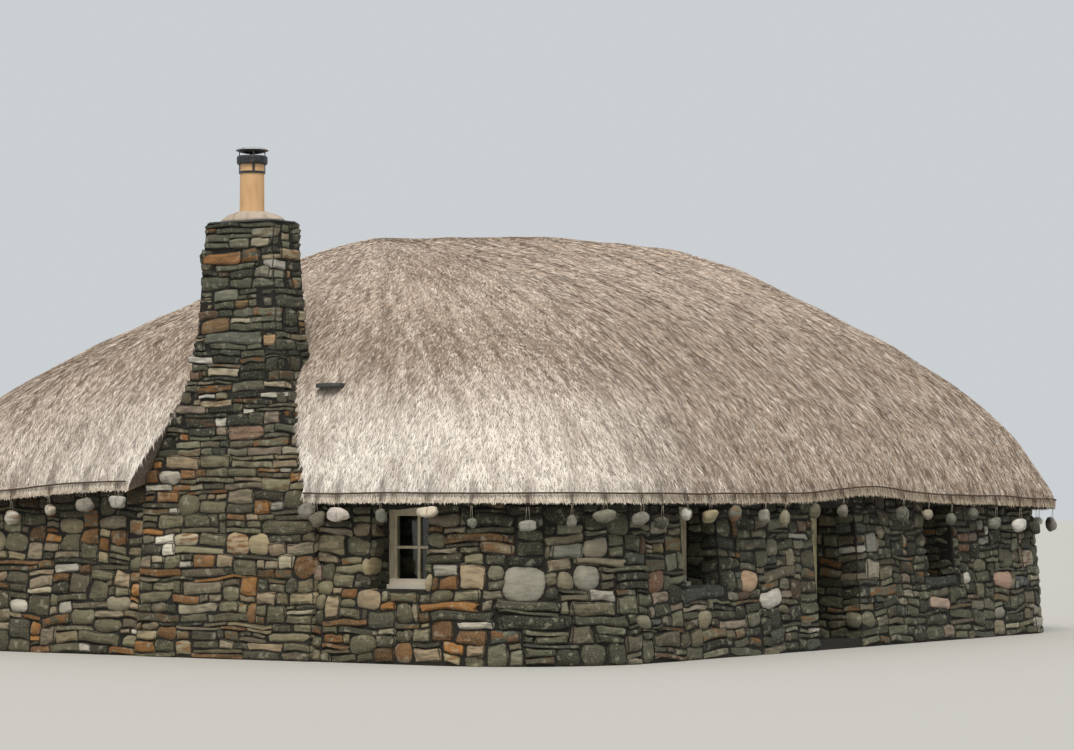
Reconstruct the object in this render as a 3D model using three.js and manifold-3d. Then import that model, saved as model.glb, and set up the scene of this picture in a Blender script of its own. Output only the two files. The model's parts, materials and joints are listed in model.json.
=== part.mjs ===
// A thatched dry-stone cottage with rounded corners and a chimney on its end wall.
// Millimetres, +Z up. The door is in the front wall, which faces -Y, and the
// chimney stands in the left end wall, which faces -X. The ground is at z = 0.

import * as THREE from "three";
import { mergeVertices } from "three/addons/utils/BufferGeometryUtils.js";
import Module from "manifold-3d";

const wasm = await Module();
wasm.setup();

// Driving dimensions
const SEAT = 0.3; // clearance between pieces that touch
const EAVE_HALF_X = 7700; // thatch edge, half length
const EAVE_HALF_Y = 6000; // thatch edge, half width
const EAVE_CORNER = 2200; // plan radius of the thatch edge at each corner
const EAVE_HEIGHT = 2000; // underside of the thatch edge
const OVERHANG = 400; // thatch edge to the head of the wall's outer face
const ROOF_RISE = 4060; // thatch edge to ridge
const RIDGE_HALF = 3400;
const HIP_ROUNDNESS = 0.7; // 0 keeps the corner radius in proportion, 1 makes round ends
const ROOF_INSIDE_RISE = 3000; // wall head to the underside of the ridge
const RIDGE_INSIDE_HALF = 2700;
const WALL_TOP = 2250;
const WALL_THICKNESS = 1000; // at the wall head
const WALL_BATTER = 190; // how far the outer face leans out at the ground
const LINTEL_BOTTOM = 1950;
const SILL_HEIGHT = 920;
const WINDOW_WIDTH = 900;
const END_WINDOW_SETBACK = 340; // wall face to window frame
const LONG_WALL_SETBACK = 400;
const DOORWAY_WIDTH = 1250;
const DOOR_SETBACK = 550;
const THRESHOLD_HEIGHT = 120;

const FRONT_LEFT_WINDOW_X = -4130;
const DOOR_X = -500;
const FRONT_RIGHT_WINDOW_X = 2650;
const BACK_WINDOW_X = -500;
const END_WINDOW_Y = -3240;
const CHIMNEY_Y = -550;

// Roof slope: share of the way to the ridge, share of the rise
const ROOF_PROFILE = [
  [0, 0],
  [0, 0.035],
  [0.01, 0.07],
  [0.026, 0.115],
  [0.056, 0.19],
  [0.097, 0.28],
  [0.15, 0.372],
  [0.22, 0.475],
  [0.32, 0.598],
  [0.435, 0.705],
  [0.58, 0.81],
  [0.726, 0.905],
  [0.88, 0.975],
  [0.95, 0.994],
  [1, 1],
];
const ROOF_INSIDE_PROFILE = [
  [0, 0],
  [0.2, 0.33],
  [0.5, 0.68],
  [0.8, 0.92],
  [1, 1],
];

// Rises and dips of the thatch edge: place, height and spread
const EAVE_LIFTS = [
  { x: DOOR_X + 400, y: -EAVE_HALF_Y, rise: 110, spread: 900 },
  { x: -EAVE_HALF_X, y: 1100, rise: 160, spread: 1300 },
  { x: EAVE_HALF_X, y: -EAVE_HALF_Y + 1500, rise: -110, spread: 2200 },
  { x: 700, y: EAVE_HALF_Y, rise: 70, spread: 1600 },
];

// The upper slope sinks towards the chimney
const RIDGE_DIP = { x: -4400, y: 500, rise: -370, spread: 2800 };

// Chimney, from the ground up: height, half width, front and back from the thatch edge
const BREAST_HALF_WIDTH = 1430;
const BREAST_FRONT = 150; // at the ground, from the thatch edge
const STACK_LEVELS = [
  { z: WALL_TOP, half: 1400, front: 330, back: 1150 },
  { z: 2940, half: 1090, front: 375, back: 1130 },
  { z: 3590, half: 745, front: 410, back: 1110 },
  { z: 4110, half: 640, front: 440, back: 1090 },
  { z: 5150, half: 580, front: 480, back: 1050 },
  { z: 5640, half: 540, front: 500, back: 1030 },
];
const STACK_NOTCH_GAP = 6; // stack side to cut thatch
const STACK_TOP = STACK_LEVELS.at(-1).z;
const STACK_AXIS_X = -EAVE_HALF_X + 765;
const POT_RADIUS = 160;
const POT_HEIGHT = 620;
const POT_WALL = 32;

// Weighted rope round the thatch edge
const ROPE_RADIUS = 10;
const ROPE_HEIGHT = 120; // above the underside of the thatch edge
const WEIGHT_SPACING = 650;
const WEIGHT_DEPTH = 150;

// Stones hung by hand: distance along the thatch edge from the start of its front side,
// width, height, and how far the stone's middle hangs below the thatch edge
const FRONT_WEIGHTS = [
  [-5200, 240, 190, 110],
  [-5030, 210, 180, 210],
  [-4710, 320, 170, 150],
  [-4030, 120, 160, 160],
  [-3330, 280, 130, 110],
  [-2740, 110, 120, 240],
  [-2060, 210, 130, 280],
  [-1520, 120, 150, 220],
  [-1080, 270, 150, 160],
  [-520, 260, 140, 190],
  [-140, 210, 150, 250],
  [460, 120, 150, 140],
  [1030, 280, 150, 170],
  [1660, 220, 190, 130],
  [2440, 100, 160, 170],
  [2970, 130, 200, 200],
  [3800, 130, 190, 130],
  [4590, 130, 150, 180],
  [6370, 230, 210, 220],
  [7150, 130, 140, 180],
  [7880, 130, 160, 230],
  [8610, 130, 160, 150],
  [9350, 270, 160, 280],
  [10180, 320, 200, 300],
  [10730, 250, 180, 330],
  [12490, 300, 210, 240],
];
const CHIMNEY_END_WEIGHTS = [
  [-10160, 210, 170, 260],
  [-9490, 160, 130, 200],
  [-8870, 250, 180, 170],
  [-8310, 250, 160, 150],
];

// Materials
const stone = new THREE.MeshStandardMaterial({ color: 0x6d6a60, roughness: 0.9 });
const lintelStone = new THREE.MeshStandardMaterial({ color: 0x55544d, roughness: 0.9 });
const thatch = new THREE.MeshStandardMaterial({ color: 0xb7a48f, roughness: 1 });
const timber = new THREE.MeshStandardMaterial({ color: 0xb7a491, roughness: 0.6 });
const doorTimber = new THREE.MeshStandardMaterial({ color: 0x8a7c5a, roughness: 0.7 });
const glass = new THREE.MeshStandardMaterial({ color: 0x2c3430, roughness: 0.05 });
const mortar = new THREE.MeshStandardMaterial({ color: 0xbdb1a2, roughness: 0.9 });
const clay = new THREE.MeshStandardMaterial({ color: 0xd9ae74, roughness: 0.7 });
const blackMetal = new THREE.MeshStandardMaterial({ color: 0x2a2c2e, roughness: 0.5, metalness: 0.6 });
const slate = new THREE.MeshStandardMaterial({ color: 0x3c3f3e, roughness: 0.8 });
const weightStone = new THREE.MeshStandardMaterial({ color: 0xaaa79c, roughness: 0.9 });

const cottage = new THREE.Group();

function addMesh(name, geometry, material) {
  const mesh = new THREE.Mesh(geometry, material);
  mesh.name = name;
  cottage.add(mesh);
  return mesh;
}

// Geometry helpers
const samePoint = (p, q) => p.distanceToSquared(q) < 1e-4;

function geometryOf(triangles) {
  const positions = [];
  for (const [a, b, c] of triangles) {
    if (samePoint(a, b) || samePoint(b, c) || samePoint(c, a)) continue;
    positions.push(...a.toArray(), ...b.toArray(), ...c.toArray());
  }
  const geometry = new THREE.BufferGeometry();
  geometry.setAttribute("position", new THREE.Float32BufferAttribute(positions, 3));
  geometry.computeVertexNormals();
  return geometry;
}

// Skins a row of closed loops, and closes both ends unless they shrink to a line
function loft(loops, capped = true) {
  const triangles = [];
  const count = loops[0].length;
  for (let i = 0; i + 1 < loops.length; i++) {
    for (let j = 0; j < count; j++) {
      const next = (j + 1) % count;
      triangles.push([loops[i][j], loops[i][next], loops[i + 1][next]]);
      triangles.push([loops[i][j], loops[i + 1][next], loops[i + 1][j]]);
    }
  }
  if (capped) {
    const first = loops[0];
    const last = loops.at(-1);
    for (let k = 1; k + 1 < count; k++) {
      triangles.push([first[0], first[k + 1], first[k]]);
      triangles.push([last[0], last[k], last[k + 1]]);
    }
  }
  return geometryOf(triangles);
}

function box(x0, x1, y0, y1, z0, z1) {
  const geometry = new THREE.BoxGeometry(x1 - x0, y1 - y0, z1 - z0);
  return geometry.translate((x0 + x1) / 2, (y0 + y1) / 2, (z0 + z1) / 2);
}

function solidOf(geometry) {
  const plain = geometry.index ? geometry.toNonIndexed() : geometry.clone();
  plain.deleteAttribute("normal");
  plain.deleteAttribute("uv");
  const merged = mergeVertices(plain, 1e-3);
  return new wasm.Manifold(
    new wasm.Mesh({
      numProp: 3,
      vertProperties: merged.attributes.position.array,
      triVerts: new Uint32Array(merged.index.array),
    }),
  );
}

function geometryOfSolid(solid) {
  const mesh = solid.getMesh();
  const geometry = new THREE.BufferGeometry();
  geometry.setAttribute("position", new THREE.BufferAttribute(mesh.vertProperties, 3));
  geometry.setIndex(new THREE.BufferAttribute(mesh.triVerts, 1));
  geometry.computeVertexNormals();
  return geometry;
}

function union(geometries) {
  return geometryOfSolid(geometries.map(solidOf).reduce((whole, piece) => whole.add(piece)));
}

function lathe(profile, segments = 24) {
  const points = profile.map(([r, z]) => new THREE.Vector2(r, z));
  return new THREE.LatheGeometry(points, segments).rotateX(Math.PI / 2);
}

// Small repeatable pseudo-random numbers between 0 and 1
function randomFrom(seed) {
  let state = seed;
  return () => {
    state = (state * 16807) % 2147483647;
    return state / 2147483647;
  };
}

// Plan of the thatch edge: anticlockwise, from the start of the front side
const LONG_STEPS = 14;
const SHORT_STEPS = 10;
const ARC_STEPS = 8;

function swell(lift, x, y) {
  const distance = Math.hypot(x - lift.x, y - lift.y) / lift.spread;
  return lift.rise * Math.exp((-distance * distance) / 2);
}

function eaveLift(x, y) {
  return EAVE_LIFTS.reduce((sum, lift) => sum + swell(lift, x, y), 0);
}

// A station is a place round any rounded rectangle: shares of its straight sides and a normal
function ringStations() {
  const sides = [
    { steps: LONG_STEPS, at: (share) => [share, -1] },
    { steps: SHORT_STEPS, at: (share) => [1, share] },
    { steps: LONG_STEPS, at: (share) => [-share, 1] },
    { steps: SHORT_STEPS, at: (share) => [-1, -share] },
  ];
  const stations = [];
  sides.forEach(({ steps, at }, k) => {
    const angle0 = ((k - 1) * Math.PI) / 2;
    for (let i = 0; i < steps + ARC_STEPS; i++) {
      const [shareX, shareY] = at(Math.min(1, -1 + (2 * i) / steps));
      const angle = angle0 + (Math.max(0, i - steps) / ARC_STEPS) * (Math.PI / 2);
      const normal = new THREE.Vector2(Math.cos(angle), Math.sin(angle));
      stations.push({ shareX, shareY, normal });
    }
  });
  return stations;
}

const stations = ringStations();

// A horizontal loop through the stations of a rounded rectangle
function ring(halfX, halfY, corner, z) {
  return stations.map(({ shareX, shareY, normal }) => {
    const x = shareX * (halfX - corner) + corner * normal.x;
    const y = shareY * (halfY - corner) + corner * normal.y;
    return new THREE.Vector3(x, y, z);
  });
}

function insetRing(distance, z) {
  return ring(EAVE_HALF_X - distance, EAVE_HALF_Y - distance, EAVE_CORNER - distance, z);
}

// The loop a share of the way up to a ridge, with hips that grow rounder on the way
function ringTowardsRidge(start, ridgeHalf, share, z) {
  const halfX = THREE.MathUtils.lerp(start.halfX, ridgeHalf, share);
  const halfY = THREE.MathUtils.lerp(start.halfY, 0, share);
  const growth = THREE.MathUtils.smoothstep(share, 0, 0.5) * HIP_ROUNDNESS;
  const corner = (1 - share) * THREE.MathUtils.lerp(start.corner, start.halfY, growth);
  return ring(halfX, halfY, corner, z);
}

// Thatch roof: a hollow hipped shell that rests on the wall heads
function roofShell() {
  const roofBase = WALL_TOP + SEAT;
  const inset = OVERHANG + WALL_THICKNESS + 20;
  const room = {
    halfX: EAVE_HALF_X - inset,
    halfY: EAVE_HALF_Y - inset,
    corner: EAVE_CORNER - inset,
  };
  const inside = ROOF_INSIDE_PROFILE.map(([run, rise]) =>
    ringTowardsRidge(room, RIDGE_INSIDE_HALF, run, roofBase + rise * ROOF_INSIDE_RISE),
  ).reverse();
  const eave = { halfX: EAVE_HALF_X, halfY: EAVE_HALF_Y, corner: EAVE_CORNER };
  const edge = insetRing(0, 0);
  const outside = ROOF_PROFILE.map(([run, rise]) => {
    const loop = ringTowardsRidge(eave, RIDGE_HALF, run, EAVE_HEIGHT + rise * ROOF_RISE);
    const low = Math.max(0, 1 - rise / 0.45);
    const high = THREE.MathUtils.smoothstep(rise, 0.2, 0.7);
    loop.forEach((point, j) => {
      point.z += low * eaveLift(edge[j].x, edge[j].y) + high * swell(RIDGE_DIP, point.x, point.y);
    });
    return loop;
  });
  const soffit = insetRing(OVERHANG - 60, roofBase);
  return loft([...inside, soffit, ...outside], false);
}

// Outline of the stack seen from its front, used for the notch in the thatch
function notchCutter() {
  const levels = [
    { z: EAVE_HEIGHT - 500, half: BREAST_HALF_WIDTH },
    { z: WALL_TOP + 2, half: BREAST_HALF_WIDTH },
    ...STACK_LEVELS.slice(1),
    { z: STACK_TOP + 900, half: STACK_LEVELS.at(-1).half },
  ];
  const outer = -EAVE_HALF_X - 300;
  const inner = -EAVE_HALF_X + STACK_LEVELS[0].back + STACK_NOTCH_GAP;
  return loft(
    levels.map(({ z, half }) => {
      const reach = half + STACK_NOTCH_GAP;
      return [
        new THREE.Vector3(outer, CHIMNEY_Y - reach, z),
        new THREE.Vector3(inner, CHIMNEY_Y - reach, z),
        new THREE.Vector3(inner, CHIMNEY_Y + reach, z),
        new THREE.Vector3(outer, CHIMNEY_Y + reach, z),
      ];
    }),
  );
}

// Flat drip slate that sticks out of the thatch beside the stack
const SLATE = { x: -EAVE_HALF_X + 780, y: CHIMNEY_Y - 1390, z: 3500 };
const SLATE_SIZE = { x: 560, y: 400, z: 55 };

function slateBox(margin) {
  const half = [SLATE_SIZE.x / 2, SLATE_SIZE.y / 2, SLATE_SIZE.z / 2].map((h) => h + margin);
  return box(
    SLATE.x - half[0],
    SLATE.x + half[0],
    SLATE.y - half[1],
    SLATE.y + half[1],
    SLATE.z - half[2],
    SLATE.z + half[2],
  );
}

const roofSolid = solidOf(roofShell()).subtract(solidOf(notchCutter())).subtract(solidOf(slateBox(SEAT)));
addMesh("thatch_roof", geometryOfSolid(roofSolid), thatch);
addMesh("drip_slate", slateBox(0), slate);

// Walls: each piece follows stations on the line of the outer face at the wall head
const WALL_HALF_X = EAVE_HALF_X - OVERHANG;
const WALL_HALF_Y = EAVE_HALF_Y - OVERHANG;
const WALL_CORNER = EAVE_CORNER - OVERHANG;
const STRAIGHT_X = WALL_HALF_X - WALL_CORNER;
const STRAIGHT_Y = WALL_HALF_Y - WALL_CORNER;

function wallGeometry(line, z0, z1) {
  const lean = (z) => (WALL_BATTER * (WALL_TOP - z)) / WALL_TOP;
  const sections = line.map(({ x, y, normal }) => {
    const at = (offset, z) => new THREE.Vector3(x + normal.x * offset, y + normal.y * offset, z);
    return [at(-WALL_THICKNESS, z0), at(-WALL_THICKNESS, z1), at(lean(z1), z1), at(lean(z0), z0)];
  });
  return loft(sections);
}

const SIDES = {
  front: { normal: new THREE.Vector2(0, -1), at: (u) => [u, -WALL_HALF_Y] },
  right: { normal: new THREE.Vector2(1, 0), at: (u) => [WALL_HALF_X, u] },
  back: { normal: new THREE.Vector2(0, 1), at: (u) => [u, WALL_HALF_Y] },
  left: { normal: new THREE.Vector2(-1, 0), at: (u) => [-WALL_HALF_X, u] },
};

// A straight stretch from u0 to u1, which run along +X or +Y, with room for its neighbours
function addWall(name, side, u0, u1, z0 = 0, z1 = WALL_TOP, material = stone) {
  const { normal, at } = SIDES[side];
  const low = Math.min(u0, u1) + SEAT / 2;
  const high = Math.max(u0, u1) - SEAT / 2;
  const ends = side === "front" || side === "right" ? [low, high] : [high, low];
  const line = ends.map((u) => ({ x: at(u)[0], y: at(u)[1], normal }));
  return addMesh(name, wallGeometry(line, z0, z1), material);
}

// A quarter turn of wall; lead is a straight stretch before it, up to an opening
function addCorner(name, signX, signY, angle0, lead = null) {
  const line = lead ? [lead] : [];
  const spare = SEAT / 2 / (WALL_CORNER - WALL_THICKNESS);
  for (let i = 0; i <= ARC_STEPS; i++) {
    const share = THREE.MathUtils.lerp(spare, Math.PI / 2 - spare, i / ARC_STEPS);
    const normal = new THREE.Vector2(Math.cos(angle0 + share), Math.sin(angle0 + share));
    line.push({
      x: signX * STRAIGHT_X + WALL_CORNER * normal.x,
      y: signY * STRAIGHT_Y + WALL_CORNER * normal.y,
      normal,
    });
  }
  addMesh(name, wallGeometry(line, 0, WALL_TOP), stone);
}

const HALF_WINDOW = WINDOW_WIDTH / 2;
const HALF_DOORWAY = DOORWAY_WIDTH / 2;

addWall("front_wall_left", "front", -STRAIGHT_X, FRONT_LEFT_WINDOW_X - HALF_WINDOW);
addWall("front_wall_left_of_door", "front", FRONT_LEFT_WINDOW_X + HALF_WINDOW, DOOR_X - HALF_DOORWAY);
addWall("front_wall_right_of_door", "front", DOOR_X + HALF_DOORWAY, FRONT_RIGHT_WINDOW_X - HALF_WINDOW);
addWall("front_wall_right", "front", FRONT_RIGHT_WINDOW_X + HALF_WINDOW, STRAIGHT_X);
addWall("left_end_wall_by_chimney", "left", END_WINDOW_Y + HALF_WINDOW, CHIMNEY_Y - BREAST_HALF_WIDTH);
addWall("left_end_wall_far", "left", CHIMNEY_Y + BREAST_HALF_WIDTH, STRAIGHT_Y);
addWall("right_end_wall", "right", -STRAIGHT_Y, STRAIGHT_Y);
addWall("back_wall_left", "back", -STRAIGHT_X, BACK_WINDOW_X - HALF_WINDOW);
addWall("back_wall_right", "back", BACK_WINDOW_X + HALF_WINDOW, STRAIGHT_X);
addCorner("front_right_corner_wall", 1, -1, -Math.PI / 2);
addCorner("back_right_corner_wall", 1, 1, 0);
addCorner("back_left_corner_wall", -1, 1, Math.PI / 2);
addCorner("front_left_corner_wall", -1, -1, Math.PI, {
  x: -WALL_HALF_X,
  y: END_WINDOW_Y - HALF_WINDOW - SEAT / 2,
  normal: SIDES.left.normal,
});

// Windows: the wall below, the lintel over, the timber frame and the glass
const FRAME_DEPTH = 110;
const FRAME_FACE = 70;
const FRAME_FOOT = 95;
const SILL_REACH = 80; // how far the timber sill stands out of the frame
const SILL_THICKNESS = 45;
const GLASS_THICKNESS = 6;

// Frame and glass are drawn facing -Y at the origin, then turned to their wall
function windowFrame() {
  const half = HALF_WINDOW - SEAT;
  const height = LINTEL_BOTTOM - SILL_HEIGHT - 2 * SEAT;
  const shape = new THREE.Shape();
  shape.moveTo(-half, 0);
  shape.lineTo(half, 0);
  shape.lineTo(half, height);
  shape.lineTo(-half, height);
  shape.closePath();
  const light = new THREE.Path();
  light.moveTo(-half + FRAME_FACE, FRAME_FOOT);
  light.lineTo(-half + FRAME_FACE, height - FRAME_FACE);
  light.lineTo(half - FRAME_FACE, height - FRAME_FACE);
  light.lineTo(half - FRAME_FACE, FRAME_FOOT);
  light.closePath();
  shape.holes.push(light);
  const ring = new THREE.ExtrudeGeometry(shape, { depth: FRAME_DEPTH, bevelEnabled: false });
  ring.rotateX(Math.PI / 2).translate(0, FRAME_DEPTH, 0);
  const sill = box(-half, half, -SILL_REACH, FRAME_DEPTH / 2, 0, SILL_THICKNESS);
  return union([ring, sill]);
}

function windowGlass() {
  const half = HALF_WINDOW - SEAT - FRAME_FACE - SEAT;
  const bottom = FRAME_FOOT + SEAT;
  const top = LINTEL_BOTTOM - SILL_HEIGHT - 2 * SEAT - FRAME_FACE - SEAT;
  const y = FRAME_DEPTH / 2;
  return box(-half, half, y - GLASS_THICKNESS / 2, y + GLASS_THICKNESS / 2, bottom, top);
}

function addWindow(name, side, u, setback) {
  const { normal, at } = SIDES[side];
  addWall(name + "_wall_below", side, u - HALF_WINDOW, u + HALF_WINDOW, 0, SILL_HEIGHT);
  addWall(name + "_lintel", side, u - HALF_WINDOW, u + HALF_WINDOW, LINTEL_BOTTOM, WALL_TOP, lintelStone);
  const [x, y] = at(u);
  const place = new THREE.Group();
  place.position.set(x - normal.x * setback, y - normal.y * setback, SILL_HEIGHT + SEAT);
  place.rotation.z = Math.atan2(normal.y, normal.x) + Math.PI / 2;
  const frame = new THREE.Mesh(windowFrame(), timber);
  frame.name = name + "_frame";
  const pane = new THREE.Mesh(windowGlass(), glass);
  pane.name = name + "_glass";
  place.add(frame, pane);
  cottage.add(place);
}

addWindow("front_left_window", "front", FRONT_LEFT_WINDOW_X, LONG_WALL_SETBACK);
addWindow("front_right_window", "front", FRONT_RIGHT_WINDOW_X, LONG_WALL_SETBACK);
addWindow("end_window", "left", END_WINDOW_Y, END_WINDOW_SETBACK);
addWindow("back_window", "back", BACK_WINDOW_X, LONG_WALL_SETBACK);

// Doorway: lintel, threshold slab, timber frame, and a leaf that stands open inwards
const POST_FACE = 150;
const HINGE_POST_FACE = 280; // a post with a boarded strip beside it
const DOOR_FRAME_DEPTH = 110;
const HEAD_FACE = 110;
const LEAF_THICKNESS = 45;
const LEAF_WIDTH = 830;
const DOOR_Y = -WALL_HALF_Y + DOOR_SETBACK;

addWall("door_lintel", "front", DOOR_X - HALF_DOORWAY, DOOR_X + HALF_DOORWAY, LINTEL_BOTTOM, WALL_TOP, lintelStone);
addWall("door_threshold", "front", DOOR_X - HALF_DOORWAY, DOOR_X + HALF_DOORWAY, 0, THRESHOLD_HEIGHT, lintelStone);

function doorFrame() {
  const half = HALF_DOORWAY - SEAT;
  const foot = THRESHOLD_HEIGHT + SEAT;
  const head = LINTEL_BOTTOM - SEAT;
  const back = DOOR_Y + DOOR_FRAME_DEPTH;
  return union([
    box(DOOR_X - half, DOOR_X - half + POST_FACE, DOOR_Y, back, foot, head),
    box(DOOR_X + half - HINGE_POST_FACE, DOOR_X + half, DOOR_Y, back, foot, head),
    box(DOOR_X - half, DOOR_X + half, DOOR_Y, back, head - HEAD_FACE, head),
  ]);
}

const leafX = DOOR_X + HALF_DOORWAY - HINGE_POST_FACE;
const leafY = DOOR_Y + DOOR_FRAME_DEPTH + SEAT;
const leafTop = LINTEL_BOTTOM - HEAD_FACE - 10;
addMesh("door_frame", doorFrame(), doorTimber);
addMesh(
  "door_leaf",
  box(leafX, leafX + LEAF_THICKNESS, leafY, leafY + LEAF_WIDTH, THRESHOLD_HEIGHT + 8, leafTop),
  doorTimber,
);

// Chimney: the breast stands in the wall, the stack goes on up through the thatch
function plinth(z, half, front, back) {
  return [
    new THREE.Vector3(-EAVE_HALF_X + front, CHIMNEY_Y - half, z),
    new THREE.Vector3(-EAVE_HALF_X + back, CHIMNEY_Y - half, z),
    new THREE.Vector3(-EAVE_HALF_X + back, CHIMNEY_Y + half, z),
    new THREE.Vector3(-EAVE_HALF_X + front, CHIMNEY_Y + half, z),
  ];
}

const breastHalf = BREAST_HALF_WIDTH - SEAT;
const breastBack = OVERHANG + WALL_THICKNESS;
addMesh(
  "chimney_breast",
  loft([
    plinth(0, breastHalf, BREAST_FRONT, breastBack),
    plinth(WALL_TOP - SEAT, breastHalf, STACK_LEVELS[0].front, breastBack),
  ]),
  stone,
);
addMesh(
  "chimney_stack",
  loft(STACK_LEVELS.map(({ z, half, front, back }) => plinth(z, half, front, back))),
  stone,
);

// Flaunching: a thin slab that oversails the stack, with a mortar dome for the pot
const SLAB_THICKNESS = 28;
const DOME_HEIGHT = 127;

function ellipseLoop(radiusX, radiusY, z, count = 20) {
  return Array.from({ length: count }, (_, i) => {
    const angle = (i / count) * 2 * Math.PI;
    return new THREE.Vector3(
      STACK_AXIS_X + radiusX * Math.cos(angle),
      CHIMNEY_Y + radiusY * Math.sin(angle),
      z,
    );
  });
}

const slabBottom = STACK_TOP + SEAT;
const domeBottom = slabBottom + SLAB_THICKNESS;
const domeTop = domeBottom + DOME_HEIGHT;
const slab = box(
  -EAVE_HALF_X + STACK_LEVELS.at(-1).front - 25,
  -EAVE_HALF_X + STACK_LEVELS.at(-1).back + 25,
  CHIMNEY_Y - STACK_LEVELS.at(-1).half - 25,
  CHIMNEY_Y + STACK_LEVELS.at(-1).half + 25,
  slabBottom,
  domeBottom,
);
const dome = loft([
  ellipseLoop(275, 490, domeBottom - 5),
  ellipseLoop(264, 455, domeBottom + 40),
  ellipseLoop(240, 360, domeBottom + 85),
  ellipseLoop(205, 250, domeBottom + 115),
  ellipseLoop(185, 190, domeTop),
]);
addMesh("chimney_flaunching", union([slab, dome]), mortar);

// Clay pot, open through, and the rain cap that clasps it on four straps
const potBottom = domeTop + SEAT;
const potTop = potBottom + POT_HEIGHT;
const pot = lathe([
  [POT_RADIUS - POT_WALL, 0],
  [POT_RADIUS + 6, 0],
  [POT_RADIUS + 2, 60],
  [POT_RADIUS - 2, POT_HEIGHT],
  [POT_RADIUS - POT_WALL, POT_HEIGHT],
  [POT_RADIUS - POT_WALL, 0],
]);
addMesh("chimney_pot", pot.translate(STACK_AXIS_X, CHIMNEY_Y, potBottom), clay);

const RING_RADIUS = 203;
const RING_HEIGHT = 112;
const CAP_RADIUS = 215;
const CAP_GAP = 28; // ring to the lowest point of the cap
const bandBottom = potTop - 120;
const ringBottom = potTop + SEAT;
const ringTop = ringBottom + RING_HEIGHT;
const capBottom = ringTop + CAP_GAP;
const bandInside = POT_RADIUS + 2;

function strap(angle) {
  const bar = box(-5, 5, -14, 14, bandBottom, capBottom + 34);
  bar.translate(bandInside + 5, 0, 0).rotateZ(angle);
  return bar;
}

const band = lathe([
  [bandInside, bandBottom],
  [bandInside + 8, bandBottom],
  [bandInside + 8, bandBottom + 30],
  [bandInside, bandBottom + 30],
  [bandInside, bandBottom],
]);
const collar = lathe([
  [POT_RADIUS - 26, ringBottom],
  [RING_RADIUS - 14, ringBottom],
  [RING_RADIUS, ringBottom + 20],
  [RING_RADIUS, ringTop - 20],
  [RING_RADIUS - 14, ringTop],
  [POT_RADIUS - 26, ringTop],
  [POT_RADIUS - 26, ringBottom],
]);
const cap = lathe([
  [0, capBottom],
  [90, capBottom + 5],
  [170, capBottom + 22],
  [CAP_RADIUS, capBottom + 42],
  [CAP_RADIUS, capBottom + 48],
  [165, capBottom + 74],
  [80, capBottom + 92],
  [0, capBottom + 97],
]);
const straps = [45, 135, 225, 315].map((degrees) => strap(THREE.MathUtils.degToRad(degrees)));
const rainCap = union([collar, band, cap, ...straps]);
addMesh("chimney_rain_cap", rainCap.translate(STACK_AXIS_X, CHIMNEY_Y, 0), blackMetal);

// Weighted rope: runs round the thatch edge with a stone on a short line at each step
const edgeLoop = insetRing(0, 0);
edgeLoop.forEach((point) => (point.z = EAVE_HEIGHT + eaveLift(point.x, point.y)));
const edgeLengths = [0];
for (let j = 0; j < stations.length; j++) {
  const here = edgeLoop[j];
  const next = edgeLoop[(j + 1) % stations.length];
  edgeLengths.push(edgeLengths[j] + Math.hypot(next.x - here.x, next.y - here.y));
}
const EDGE_LENGTH = edgeLengths.at(-1);

// Place, outward normal and height of the thatch edge at a distance along it
function edgeAt(distance) {
  const d = THREE.MathUtils.euclideanModulo(distance, EDGE_LENGTH);
  const j = Math.max(0, edgeLengths.findLastIndex((length) => length <= d + 1e-6));
  const next = (j + 1) % stations.length;
  const share = (d - edgeLengths[j]) / (edgeLengths[j + 1] - edgeLengths[j]);
  const { x, y, z } = edgeLoop[j].clone().lerp(edgeLoop[next], share);
  const normal = stations[j].normal.clone().lerp(stations[next].normal, share).normalize();
  return { x, y, z, normal };
}

function ropeTube(from, to) {
  const inner = edgeLengths.concat(edgeLengths.map((length) => length + EDGE_LENGTH));
  const distances = [from, ...inner.filter((d) => d > from + 5 && d < to - 5), to];
  const unique = distances.filter((d, i) => i === 0 || d - distances[i - 1] > 1);
  return loft(
    unique.map((distance) => {
      const edge = edgeAt(distance);
      return Array.from({ length: 6 }, (_, i) => {
        const angle = (-i * Math.PI) / 3;
        const out = ROPE_RADIUS + 1 + ROPE_RADIUS * Math.cos(angle);
        const up = ROPE_HEIGHT + ROPE_RADIUS * Math.sin(angle);
        return new THREE.Vector3(edge.x + edge.normal.x * out, edge.y + edge.normal.y * out, edge.z + up);
      });
    }),
  );
}

function hangingWeight([distance, width, height, drop]) {
  const edge = edgeAt(distance);
  const out = ROPE_RADIUS + 1;
  const top = edge.z + ROPE_HEIGHT;
  const centre = edge.z - drop;
  const line = new THREE.CylinderGeometry(6, 6, top - centre, 4).rotateX(Math.PI / 2);
  line.rotateZ(Math.PI / 4).translate(0, 0, (top + centre) / 2);
  const pebble = new THREE.SphereGeometry(0.5, 7, 5).rotateX(Math.PI / 2);
  pebble.scale(WEIGHT_DEPTH, width, height).translate(0, 0, centre);
  return [line, pebble].map((geometry) =>
    geometry
      .rotateZ(Math.atan2(edge.normal.y, edge.normal.x))
      .translate(edge.x + edge.normal.x * out, edge.y + edge.normal.y * out, 0),
  );
}

// Evenly spaced stones of mixed sizes between two distances
function evenWeights(from, to, seed) {
  const random = randomFrom(seed);
  const count = Math.floor((to - from) / WEIGHT_SPACING);
  return Array.from({ length: count }, (_, i) => [
    from + ((i + 0.5) * (to - from)) / count,
    180 + 100 * random(),
    110 + 60 * random(),
    150 + 80 * random(),
  ]);
}

function addWeightedRope(name, from, to, weights) {
  const pieces = [ropeTube(from + SEAT, to - SEAT), ...weights.flatMap(hangingWeight)];
  addMesh(name, union(pieces), weightStone);
}

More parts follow.
